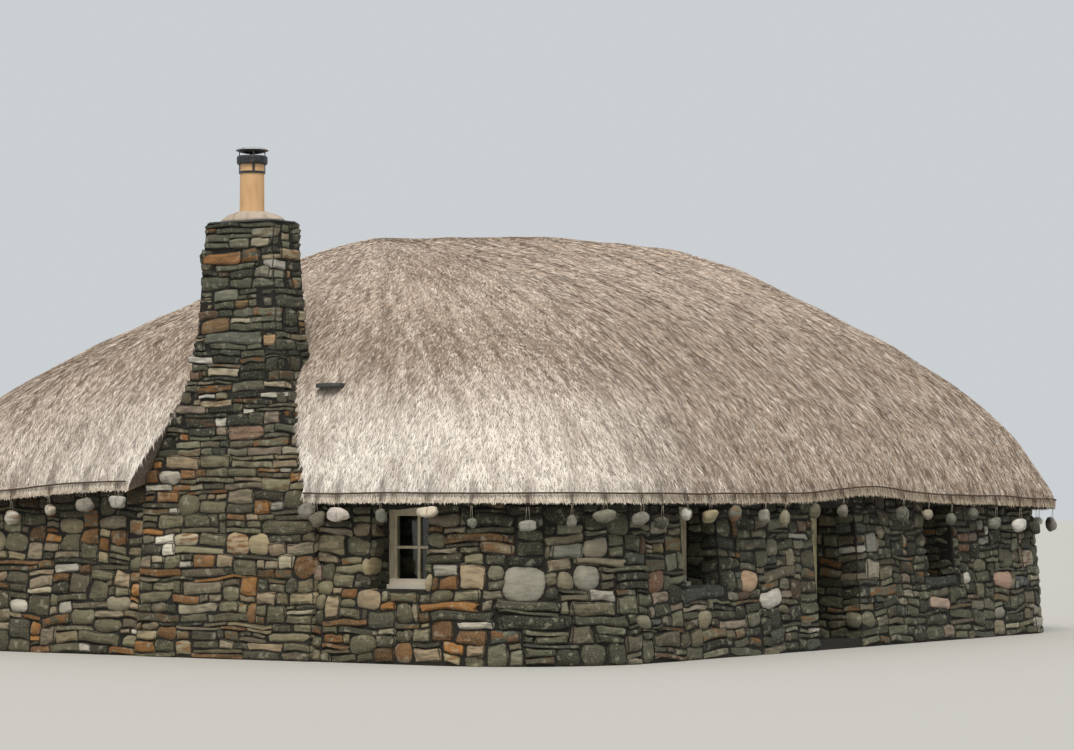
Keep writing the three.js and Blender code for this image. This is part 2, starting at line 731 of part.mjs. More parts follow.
const cornerLength = edgeLengths[LONG_STEPS + ARC_STEPS] - edgeLengths[LONG_STEPS];
const longSide = 2 * (EAVE_HALF_X - EAVE_CORNER);
const shortSide = 2 * (EAVE_HALF_Y - EAVE_CORNER);
const rightStart = longSide + cornerLength / 2;
const backStart = rightStart + cornerLength + shortSide;
const leftStart = backStart + cornerLength + longSide;
const leftSideStart = 2 * longSide + shortSide + 3 * cornerLength;
const notchFar = leftSideStart + EAVE_HALF_Y - EAVE_CORNER - CHIMNEY_Y - BREAST_HALF_WIDTH - 30;
const notchNear = notchFar + 2 * BREAST_HALF_WIDTH + 60;
const firstEndWeight = EDGE_LENGTH + CHIMNEY_END_WEIGHTS[0][0];
addWeightedRope("front_weighted_rope", notchNear, EDGE_LENGTH + rightStart, FRONT_WEIGHTS);
addWeightedRope("right_weighted_rope", rightStart, backStart, evenWeights(rightStart, backStart, 23));
addWeightedRope("back_weighted_rope", backStart, leftStart, evenWeights(backStart, leftStart, 37));
addWeightedRope("left_weighted_rope", leftStart, notchFar, [
  ...evenWeights(leftStart, firstEndWeight - WEIGHT_SPACING / 2, 41),
  ...CHIMNEY_END_WEIGHTS,
]);

export default cottage;
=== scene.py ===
"""Looks of the thatched dry-stone cottage: laid stones, thatch, weighted rope, timber, glass, clay, iron."""

import json
import math
import random

import bmesh
import bpy
import numpy as np
from mathutils import Matrix, Vector, noise


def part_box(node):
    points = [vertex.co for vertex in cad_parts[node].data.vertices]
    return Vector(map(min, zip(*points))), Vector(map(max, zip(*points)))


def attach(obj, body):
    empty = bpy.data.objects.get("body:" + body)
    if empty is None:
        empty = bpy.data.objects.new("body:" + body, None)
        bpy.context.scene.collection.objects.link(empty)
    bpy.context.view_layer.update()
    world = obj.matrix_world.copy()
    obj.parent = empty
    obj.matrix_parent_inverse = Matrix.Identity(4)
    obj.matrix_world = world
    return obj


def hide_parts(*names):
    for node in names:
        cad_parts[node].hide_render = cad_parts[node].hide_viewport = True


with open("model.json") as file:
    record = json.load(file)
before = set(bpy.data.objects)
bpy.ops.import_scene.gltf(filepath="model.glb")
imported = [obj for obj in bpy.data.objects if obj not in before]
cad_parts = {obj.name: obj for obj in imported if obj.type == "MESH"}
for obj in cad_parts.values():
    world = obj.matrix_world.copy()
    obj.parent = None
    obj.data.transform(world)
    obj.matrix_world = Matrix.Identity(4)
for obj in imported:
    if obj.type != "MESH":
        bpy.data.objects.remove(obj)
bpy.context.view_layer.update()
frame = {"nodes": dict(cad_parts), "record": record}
nodes = frame["nodes"]

# Plan and heights in metres, as the frame has them
EAVE_HALF = (7.7, 6.0)
EAVE_CORNER = 2.2
EAVE_HEIGHT = 2.0
OVERHANG = 0.4
ROOF_RISE = 4.06
RIDGE_HALF = 3.4
HIP_ROUNDNESS = 0.7
ROOF_INSIDE_RISE = 3.0
RIDGE_INSIDE_HALF = 2.7
WALL_TOP = 2.25
WALL_THICKNESS = 1.0
WALL_BATTER = 0.19
LINTEL_BOTTOM = 1.95
SILL_HEIGHT = 0.92
WINDOW_WIDTH = 0.9
WINDOWS = {
    "front_left_window": ("front", -4.13, 0.4),
    "front_right_window": ("front", 2.65, 0.4),
    "end_window": ("left", -3.24, 0.34),
    "back_window": ("back", -0.5, 0.4),
}
DOOR_X = -0.5
DOORWAY_WIDTH = 1.25
DOOR_SETBACK = 0.55
THRESHOLD_HEIGHT = 0.12
CHIMNEY_Y = -0.55
BREAST_HALF = 1.43
STACK_TOP = 5.64
STACK_AXIS_X = -EAVE_HALF[0] + 0.765

# Gap under a piece that rests on another
SEAT = 0.0003

# Roof slope: share of the way to the ridge, share of the rise
ROOF_PROFILE = [
    (0, 0), (0, 0.035), (0.01, 0.07), (0.026, 0.115), (0.056, 0.19), (0.097, 0.28), (0.15, 0.372),
    (0.22, 0.475), (0.32, 0.598), (0.435, 0.705), (0.58, 0.81), (0.726, 0.905), (0.88, 0.975), (0.95, 0.994),
    (1, 1),
]
ROOF_INSIDE_PROFILE = [(0, 0), (0.2, 0.33), (0.5, 0.68), (0.8, 0.92), (1, 1)]

# Rises and dips of the thatch edge: x, y, height, spread
EAVE_LIFTS = [(-0.1, -6.0, 0.11, 0.9), (-7.7, 1.1, 0.16, 1.3), (7.7, -4.5, -0.11, 2.2), (0.7, 6.0, 0.07, 1.6)]
RIDGE_DIP = (-4.4, 0.5, -0.37, 2.8)

# Chimney outline: height, half width, front and back from the thatch edge
CHIMNEY_LEVELS = [
    (0.0, 1.43, 0.15, 1.15), (2.25, 1.4, 0.33, 1.15), (2.94, 1.09, 0.375, 1.13), (3.59, 0.745, 0.41, 1.11),
    (4.11, 0.64, 0.44, 1.09), (5.15, 0.58, 0.48, 1.05), (5.64, 0.54, 0.5, 1.03),
]


# Colour and node helpers
def srgb(code):
    """Linear colour of an sRGB hex value."""
    channels = [int(code[i : i + 2], 16) / 255 for i in (0, 2, 4)]
    return (*[c / 12.92 if c <= 0.04045 else ((c + 0.055) / 1.055) ** 2.4 for c in channels], 1.0)


def per_metre(millimetres):
    """Texture scale for a feature of that size."""
    return 1000 / millimetres


def add(tree, kind, inputs=None, output=None, **settings):
    """Adds one node with its settings and gives one output: the named one, or else the first that is in use.

    Each input is linked if it gets a socket, and set if it gets a value."""
    made = tree.nodes.new(kind)
    for name, value in settings.items():
        setattr(made, name, value)
    for key, value in (inputs or {}).items():
        if isinstance(value, bpy.types.NodeSocket):
            tree.links.new(value, made.inputs[key])
        else:
            made.inputs[key].default_value = value
    return made.outputs[output] if output else next(socket for socket in made.outputs if socket.enabled)


def layered(tree, colour, layers):
    """Lays colours over a base; a layer is a value, its low and high, the share at each, and the colour."""
    for value, low, high, at_low, at_high, code in layers:
        span = {0: value, 1: low, 2: high, 3: at_low, 4: at_high}
        share = add(tree, "ShaderNodeMapRange", span, interpolation_type="SMOOTHSTEP")
        colour = add(tree, "ShaderNodeMix", {0: share, 6: colour, 7: srgb(code)}, data_type="RGBA")
    return colour


def new_material(name, values):
    """A material with those values on its shader, its node tree, and the place of each point on a piece."""
    material = bpy.data.materials.new(name)
    material.use_nodes = True
    tree = material.node_tree
    for socket, value in values.items():
        tree.nodes["Principled BSDF"].inputs[socket].default_value = value
    return material, tree, add(tree, "ShaderNodeTexCoord", output="Object")


def surfaced(material, colour=None, relief=None, depth=0.0):
    """Gives a material its colour and a bump of that depth in metres."""
    tree = material.node_tree
    inputs = tree.nodes["Principled BSDF"].inputs
    if colour:
        tree.links.new(colour, inputs["Base Color"])
    if relief:
        tree.links.new(add(tree, "ShaderNodeBump", {"Height": relief, "Distance": depth}), inputs["Normal"])
    return material


def link(name, data, material=None):
    """A new object at the origin with that mesh, camera or light."""
    piece = bpy.data.objects.new(name, data)
    bpy.context.scene.collection.objects.link(piece)
    if material:
        data.materials.append(material)
    return piece


# Camera: eye at the height of the thatch edge, looking past the corner of the chimney end and the long wall
camera_data = bpy.data.cameras.new("camera")
camera_data.lens = 109.5
camera_data.sensor_width = 36
camera = link("camera", camera_data)
camera.location = (-40.325, -27.185, EAVE_HEIGHT)
camera.rotation_euler = (math.radians(90 + 2.243), 0, math.radians(-56.42))
bpy.context.scene.camera = camera

# Studio: pale floor, even sky and one broad soft light from the left behind the camera
FLOOR_HALF = 300
floor_corners = [(x * FLOOR_HALF, y * FLOOR_HALF, 0) for x, y in ((-1, -1), (1, -1), (1, 1), (-1, 1))]
floor_mesh = bpy.data.meshes.new("studio_floor")
floor_mesh.from_pydata(floor_corners, [], [(0, 1, 2, 3)])
floor_finish = {"Base Color": srgb("bdbcb7"), "Roughness": 0.9}
floor = link("studio_floor", floor_mesh, new_material("matt pale floor", floor_finish)[0])

world = bpy.data.worlds.new("even sky")
world.use_nodes = True
world.node_tree.nodes["Background"].inputs["Color"].default_value = srgb("e6ebef")
world.node_tree.nodes["Background"].inputs["Strength"].default_value = 0.75
bpy.context.scene.world = world
bpy.context.scene.view_settings.view_transform = "Standard"

key_data = bpy.data.lights.new("broad soft light", "SUN")
key_data.energy = 2.25
key_data.angle = math.radians(30)
key_data.color = srgb("fff6ea")[:3]
key = link("broad soft light", key_data)
key.rotation_euler = Vector((-0.62, -0.36, 1.05)).to_track_quat("Z", "Y").to_euler()


# Materials: pattern sizes are real ones in millimetres, except grain, grit and stems, which would be too
# fine to show and are drawn several times coarser
def from_edge(tree):
    """Distance in metres from a laid stone's nearest edge: the middle one of its distances to three faces."""
    cell, half = (
        add(tree, "ShaderNodeAttribute", output="Vector", attribute_name=name) for name in ("cell", "size")
    )
    share = add(tree, "ShaderNodeVectorMath", {0: (1, 1, 1), 1: cell}, operation="SUBTRACT")
    room = add(tree, "ShaderNodeVectorMath", {0: share, 1: half}, operation="MULTIPLY")
    x, y, z = add(tree, "ShaderNodeSeparateXYZ", {0: room}).node.outputs
    least = add(tree, "ShaderNodeMath", {0: x, 1: y}, operation="MINIMUM")
    most = add(tree, "ShaderNodeMath", {0: x, 1: y}, operation="MAXIMUM")
    rest = add(tree, "ShaderNodeMath", {0: most, 1: z}, operation="MINIMUM")
    return add(tree, "ShaderNodeMath", {0: least, 1: rest}, operation="MAXIMUM")


def stone_material(name, banding, lichen, laid):
    """Weathered gneiss: dull split faces, darker and paler bands, specks of crystal and dry lichen.

    A laid stone has painted shade along its edges, where the joints shade it. Specks are drawn 14 mm wide."""
    material, tree, place = new_material(name, {"Roughness": 0.88, "Specular IOR Level": 0.35})
    tint = add(tree, "ShaderNodeAttribute", output="Color", attribute_name="tint")
    seed = add(tree, "ShaderNodeAttribute", output="Fac", attribute_name="seed")
    shift = add(tree, "ShaderNodeCombineXYZ", {0: seed, 1: seed, 2: seed})
    own = add(tree, "ShaderNodeVectorMath", {0: place, 1: shift}, operation="ADD")
    flat = add(tree, "ShaderNodeMapping", {"Vector": own, "Scale": (1, 1, 4)})
    bands, blotches, grains = (
        add(tree, "ShaderNodeTexNoise", {"Vector": vector, "Scale": per_metre(size), "Detail": detail})
        for vector, size, detail in ((flat, 180, 5), (own, 110, 6), (own, 14, 4))
    )
    chance = add(tree, "ShaderNodeMath", {0: seed}, operation="FRACT")
    banded, stained = (
        add(tree, "ShaderNodeMapRange", dict(enumerate((chance, *span))), interpolation_type="SMOOTHSTEP")
        for span in ((0.1, 0.7, 0.25, banding), (0.86, 0.98, 0, 0.7))
    )
    layers = [
        (bands, 0.38, 0.66, 0, banded, "26271f"), (grains, 0.52, 0.72, 0, 0.45, "a5a18c"),
        (blotches, 0.56, 0.66, 0, lichen, "a8a48f"), (bands, 0.46, 0.62, 0, stained, "8a5c30"),
    ]
    # Painted shade along a laid stone's edges, where the joints shade it
    if laid:
        layers.append((from_edge(tree), 0.0, 0.026, 0.92, 0, "1c1b15"))
    relief = add(tree, "ShaderNodeMath", {0: bands, 1: grains}, operation="ADD")
    return surfaced(material, layered(tree, tint, layers), relief, 0.012)


def core_material():
    """Earth and small stone packed in the wall: dark, crumbly and dull between the laid stones, and darkened
    further as painted shade of the deep joints.
    """
    material, tree, place = new_material("packed earth and small stone", {"Roughness": 0.95})
    lumps = add(tree, "ShaderNodeTexVoronoi", {"Vector": place, "Scale": per_metre(90)})
    grit = add(tree, "ShaderNodeTexNoise", {"Vector": place, "Scale": per_metre(20), "Detail": 5})
    # Colours near black: dark earth with painted shade of the deep joints
    colour = add(tree, "ShaderNodeMix", {0: grit, 6: srgb("100f0b"), 7: srgb("2c2a23")}, data_type="RGBA")
    relief = add(tree, "ShaderNodeMath", {0: grit, 1: lumps}, operation="SUBTRACT")
    return surfaced(material, colour, relief, 0.02)


def slate_material():
    """Split slate: nearly black, in thin sheets with a dull sheen."""
    material, tree, place = new_material("dark split slate", {"Roughness": 0.6})
    flat = add(tree, "ShaderNodeMapping", {"Vector": place, "Scale": (1, 1, 8)})
    sheets = add(tree, "ShaderNodeTexNoise", {"Vector": flat, "Scale": per_metre(60), "Detail": 5})
    colour = add(tree, "ShaderNodeMix", {0: sheets, 6: srgb("1f2122"), 7: srgb("4d4f4c")}, data_type="RGBA")
    return surfaced(material, colour, sheets, 0.006)


def thatch_colour(tree, place):
    """Weathered thatch by place: paler low at the chimney corner, which is painted light where that corner
    faces the lamp, browner along the front, mottled.
    """
    height = add(tree, "ShaderNodeSeparateXYZ", {0: place}, "Z")
    broad, patches, tufts = (
        add(tree, "ShaderNodeTexNoise", {"Vector": place, "Scale": per_metre(size), "Detail": detail})
        for size, detail in ((1700, 4), (450, 5), (95, 3))
    )
    plan = add(tree, "ShaderNodeMapping", {"Vector": place, "Location": (7.5, 1.5, 0), "Scale": (1, 0.6, 0)})
    from_corner = add(tree, "ShaderNodeVectorMath", {0: plan}, operation="LENGTH")
    ragged = add(tree, "ShaderNodeMath", {0: broad, 1: 1.5, 2: from_corner}, operation="MULTIPLY_ADD")
    from_stain = add(tree, "ShaderNodeVectorMath", {0: place, 1: (-4.4, -1.8, 5.2)}, operation="DISTANCE")
    stain = add(tree, "ShaderNodeMath", {0: patches, 1: -1.4, 2: from_stain}, operation="MULTIPLY_ADD")
    # Painted light: paler low on the slope near the chimney corner, which faces the lamp
    painted_light = 1
    for value, low, high in ((height, 2.3, 4.1), (ragged, 1.5, 5.9)):
        span = {0: value, 1: low, 2: high, 3: painted_light, 4: 0}
        painted_light = add(tree, "ShaderNodeMapRange", span, interpolation_type="SMOOTHSTEP")
    colour = layered(tree, srgb("c5b09c"), [(height, 4.0, 5.4, 0, 1, "eedac8")])
    colour = add(tree, "ShaderNodeMix", {0: painted_light, 6: colour, 7: srgb("fffbf4")}, data_type="RGBA")
    layers = [
        (patches, 0.5, 0.72, 0, 0.35, "917e6b"), (broad, 0.55, 0.75, 0, 0.2, "a08468"),
        (tufts, 0.54, 0.68, 0, 0.3, "7d6a58"), (stain, -0.4, 0.25, 0.35, 0, "8f6848"),
    ]
    return layered(tree, colour, layers), painted_light


def thatch_strand_material():
    """Dry marram and heather stems: matt, each stem its own straw, grey or brown, with a darker root."""
    values = {"Roughness": 0.8, "Specular IOR Level": 0.25}
    material, tree, place = new_material("weathered thatch stems", values)
    own, along, low, groove, streak, swathe = (
        add(tree, "ShaderNodeAttribute", output="Fac", attribute_name=name)
        for name in ("strand", "along", "low", "groove", "streak", "swathe")
    )
    colour, painted_light = thatch_colour(tree, place)
    layers = [
        (streak, 0.53, 0.64, 0, 0.85, "5e4a38"), (streak, 0.36, 0.47, 0.6, 0, "fbf1e6"),
        (swathe, 0.5, 0.62, 0, 0.5, "785f49"), (own, 0.0, 0.3, 0.85, 0, "5f4f40"),
        (own, 0.66, 1.0, 0, 0.75, "fdf6ec"), (along, 0.0, 0.4, 0.25, 0, "6e5f4b"),
        # Painted light at the chimney corner, then painted light on the fringe under the rope
        (painted_light, 0, 1, 0.04, 0.4, "fff5ea"), (low, 0.1, 0.15, 0.4, 0, "efdfc2"),
        # Painted shade along the pressed grooves
        (groove, 0.02, 0.08, 0.5, 0, "54463a"),
    ]
    return surfaced(material, layered(tree, colour, layers))


def thatch_body_material():
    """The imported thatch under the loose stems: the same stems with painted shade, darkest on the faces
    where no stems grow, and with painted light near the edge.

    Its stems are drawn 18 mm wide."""
    material, tree, place = new_material("packed thatch", {"Roughness": 0.9})
    stems = add(tree, "ShaderNodeMapping", {"Vector": place, "Scale": (1, 1, 0.2)})
    fine = add(tree, "ShaderNodeTexNoise", {"Vector": stems, "Scale": per_metre(18), "Detail": 4})
    grows, room = (
        add(tree, "ShaderNodeAttribute", output="Fac", attribute_name=name) for name in ("grows", "room")
    )
    # Painted shade over the body and most on faces without stems; painted light near the edge, on the fringe
    layers = [
        (fine, 0.35, 0.7, 0.8, 0.2, "4d4035"), (room, 0.1, 0.16, 0.5, 0, "b8a587"),
        (grows, 0.2, 0.8, 0.75, 0, "5f4f3f"),
    ]
    return surfaced(material, layered(tree, thatch_colour(tree, place)[0], layers), fine, 0.02)


def timber_material(name, pale, dark, painted_light_below=0.0):
    """Weathered timber: long grain lines, slightly raised, with greyed worn streaks, and paler low parts,
    which are painted light.

    Grain lines are drawn 14 mm wide."""
    material, tree, place = new_material(name, {"Roughness": 0.62})
    drawn = add(tree, "ShaderNodeMapping", {"Vector": place, "Scale": (1, 1, 0.06)})
    grain = add(tree, "ShaderNodeTexNoise", {"Vector": drawn, "Scale": per_metre(14), "Detail": 6})
    wear = add(tree, "ShaderNodeTexNoise", {"Vector": place, "Scale": per_metre(160), "Detail": 4})
    height = add(tree, "ShaderNodeSeparateXYZ", {0: place}, "Z")
    layers = [
        (grain, 0.35, 0.7, 0, 0.6, dark), (wear, 0.52, 0.75, 0, 0.4, "8b8274"),
        # Painted light: paler below the given height, on the sill
        (height, painted_light_below - 0.01, painted_light_below + 0.01, 0.85, 0, "fdf3df"),
    ]
    return surfaced(material, layered(tree, srgb(pale), layers), grain, 0.003)


def glass_material():
    """Flat window glass: clear and slightly green, with a faint wave in its reflections."""
    values = {"Base Color": srgb("d9e4de"), "Roughness": 0.02, "IOR": 1.52, "Transmission Weight": 1.0}
    material, tree, place = new_material("flat window glass", values)
    wave = add(tree, "ShaderNodeTexNoise", {"Vector": place, "Scale": per_metre(400), "Detail": 1})
    return surfaced(material, relief=wave, depth=0.004)


def rough_mineral_material(name, base, stain, light, grain_mm, roughness=0.9):
    """Mortar or fired clay: grain drawn coarser than it is, rain stains and paler rubbed patches."""
    material, tree, place = new_material(name, {"Roughness": roughness})
    drawn = add(tree, "ShaderNodeMapping", {"Vector": place, "Scale": (1, 1, 0.25)})
    streaks = add(tree, "ShaderNodeTexNoise", {"Vector": drawn, "Scale": per_metre(120), "Detail": 5})
    grain = add(tree, "ShaderNodeTexNoise", {"Vector": place, "Scale": per_metre(grain_mm), "Detail": 4})
    layers = [(streaks, 0.45, 0.75, 0, 0.7, stain), (grain, 0.55, 0.75, 0, 0.35, light)]
    return surfaced(material, layered(tree, srgb(base), layers), grain, 0.004)


def painted_iron_material():
    """Black painted sheet steel: low sheen, dulled by soot and a little rust, and paler on faces that look
    up, a painted reflection of the sky.
    """
    material, tree, place = new_material("black painted steel", {"Roughness": 0.45})
    soot = add(tree, "ShaderNodeTexNoise", {"Vector": place, "Scale": per_metre(60), "Detail": 5})
    upward = add(tree, "ShaderNodeSeparateXYZ", {0: add(tree, "ShaderNodeNewGeometry", output="Normal")}, "Z")
    # Painted reflection of the sky on faces that look up, less of it where soot is thick
    span = {0: soot, 1: 0.6, 2: 0.4, 3: 0.5, 4: 0.9}
    painted_light = add(tree, "ShaderNodeMapRange", span, interpolation_type="SMOOTHSTEP")
    layers = [
        (soot, 0.4, 0.7, 0, 1, "34353a"), (soot, 0.66, 0.75, 0, 0.6, "5a4130"),
        (upward, 0.75, 0.95, 0, painted_light, "c9cbcc"),
    ]
    return surfaced(material, layered(tree, srgb("1d1f21"), layers), soot, 0.001)


def twine_material(name, base, dark):
    """Twisted rope or twine: short matt strands, dark in the hollows between them."""
    material, tree, place = new_material(name, {"Roughness": 0.85})
    lay = add(tree, "ShaderNodeTexNoise", {"Vector": place, "Scale": per_metre(12), "Detail": 3})
    return surfaced(material, layered(tree, srgb(dark), [(lay, 0.35, 0.65, 0, 1, base)]), lay, 0.003)


wall_stone = stone_material("weathered gneiss", 0.6, 0.4, True)
pebble_stone = stone_material("sea worn pebble", 0.3, 0.25, False)
wall_core = core_material()
wall_slate = slate_material()
thatch_stems = thatch_strand_material()
thatch_packed = thatch_body_material()
# Paler below a little over the sill's height: painted light on the sill and bottom rail
window_timber = timber_material("pale painted pine", "d6c8aa", "a99b80", SILL_HEIGHT + 0.13)
door_timber = timber_material("oiled larch", "eee2b2", "bcae84")
clear_glass = glass_material()
lime_mortar = rough_mineral_material("weathered lime mortar", "b7a999", "857a6c", "d3c8b9", 15)
buff_clay = rough_mineral_material("buff unglazed clay", "d2aa7c", "bb9163", "e6c9a0", 8, 0.7)
black_steel = painted_iron_material()
tarred_rope = twine_material("tarred rope", "5f4a38", "2e231b")
grey_twine = twine_material("grey twine", "b3a998", "7b7263")


# Mesh helpers
def mesh_of(name, points, faces, edges=()):
    """A mesh of those points, faces and loose edges."""
    mesh = bpy.data.meshes.new(name)
    mesh.from_pydata([tuple(point) for point in points], edges, faces)
    mesh.validate()
    return mesh


def mesh_from(shape, name):
    """The mesh of a shape that is done."""
    mesh = bpy.data.meshes.new(name)
    shape.to_mesh(mesh)
    shape.free()
    return mesh


def skin_faces(rings, count):
    """Four-sided faces between a row of rings with that many points each."""
    steps = [(j, (j + 1) % count) for j in range(count)]
    return [
        (low + i, low + j, low + count + j, low + count + i)
        for low in range(0, (rings - 1) * count, count)
        for i, j in steps
    ]


def loft_mesh(name, loops):
    """Closed skin over a row of loops of equal length."""
    count = len(loops[0])
    last = (len(loops) - 1) * count
    ends = [tuple(reversed(range(count))), tuple(range(last, last + count))]
    return mesh_of(name, [point for loop in loops for point in loop], skin_faces(len(loops), count) + ends)


def baked(source, name):
    """The evaluated mesh of an object as a plain new object; the source is removed."""
    evaluated = source.evaluated_get(bpy.context.evaluated_depsgraph_get())
    mesh = bpy.data.meshes.new_from_object(evaluated)
    mesh.name = name
    bpy.data.objects.remove(source)
    return link(name, mesh)


def finish_piece(piece, replaced=()):
    """Hands a finished piece to the frame: its body and the nodes that it stands for."""
    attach(piece, "root")
    if replaced:
        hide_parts(*replaced)


def joinery(name, boxes, material, worn, segments=2, place=None):
    """Timbers with worn edges as one piece, each given by its two corners, moved to their place."""
    shape = bmesh.new()
    for low, high in boxes:
        timber = bmesh.ops.create_cube(shape, size=1)["verts"]
        bmesh.ops.scale(shape, vec=[h - l for l, h in zip(low, high)], verts=timber)
        bmesh.ops.translate(shape, vec=[(l + h) / 2 for l, h in zip(low, high)], verts=timber)
    if place:
        bmesh.ops.transform(shape, matrix=place, verts=shape.verts)
    piece = link(name, mesh_from(shape, name), material)
    modifier = piece.modifiers.new("worn edges", "BEVEL")
    modifier.width = worn
    modifier.segments = segments
    return baked(piece, name)


def run_tree(source, tree, name, **inputs):
    """Runs a node tree on an object with its named inputs and returns the plain result."""
    modifier = source.modifiers.new("nodes", "NODES")
    modifier.node_group = tree
    identifiers = {item.name: item.identifier for item in tree.interface.items_tree if item.in_out == "INPUT"}
    for key, value in inputs.items():
        modifier[identifiers[key.replace("_", " ")]] = value
    return baked(source, name)


def new_tree(name, sockets):
    """A geometry node tree with its named inputs, and the sockets that they come from."""
    tree = bpy.data.node_groups.new(name, "GeometryNodeTree")
    for way in ("INPUT", "OUTPUT"):
        tree.interface.new_socket("Geometry", in_out=way, socket_type="NodeSocketGeometry")
    for label, kind, value in sockets:
        socket = tree.interface.new_socket(label, in_out="INPUT", socket_type="NodeSocket" + kind)
        if value is not None:
            socket.default_value = value
    return tree, tree.nodes.new("NodeGroupInput").outputs


# Points along the sides, roundness and unevenness of each shape of stone
STONE_SHAPES = [((5, 3, 4), 0.16, 0.5), ((5, 4, 4), 0.36, 0.6), ((6, 5, 5), 0.8, 0.36)]
SLAB, BLOCK, BOULDER = range(3)
VARIANTS = 5

# How a cube of half size 1 is shaped: reach of the ball, swelling of its faces, and how its outer face sinks
# towards the rim
BALL_REACH = 1.25
SWELLING = 0.7
RIM_SHARPNESS = 6.0
RIM_SINK = 0.22
LUMPS_PER_UNIT = 0.75
LUMP_STRENGTH = (0.9, 0.4, 1.7)
ROUNDED_CELL = 0.3

# How a laid stone tilts on each axis, sizes of its warp and chips in millimetres, the share of them that is
# held back in depth, and its gap over the ground
TILT_AXES = (0.5, 1.3, 0.4)
WARP_MM, CHIPS_MM = 750, 190
DEPTH_HELD = 0.8
GROUND_GAP = 0.002


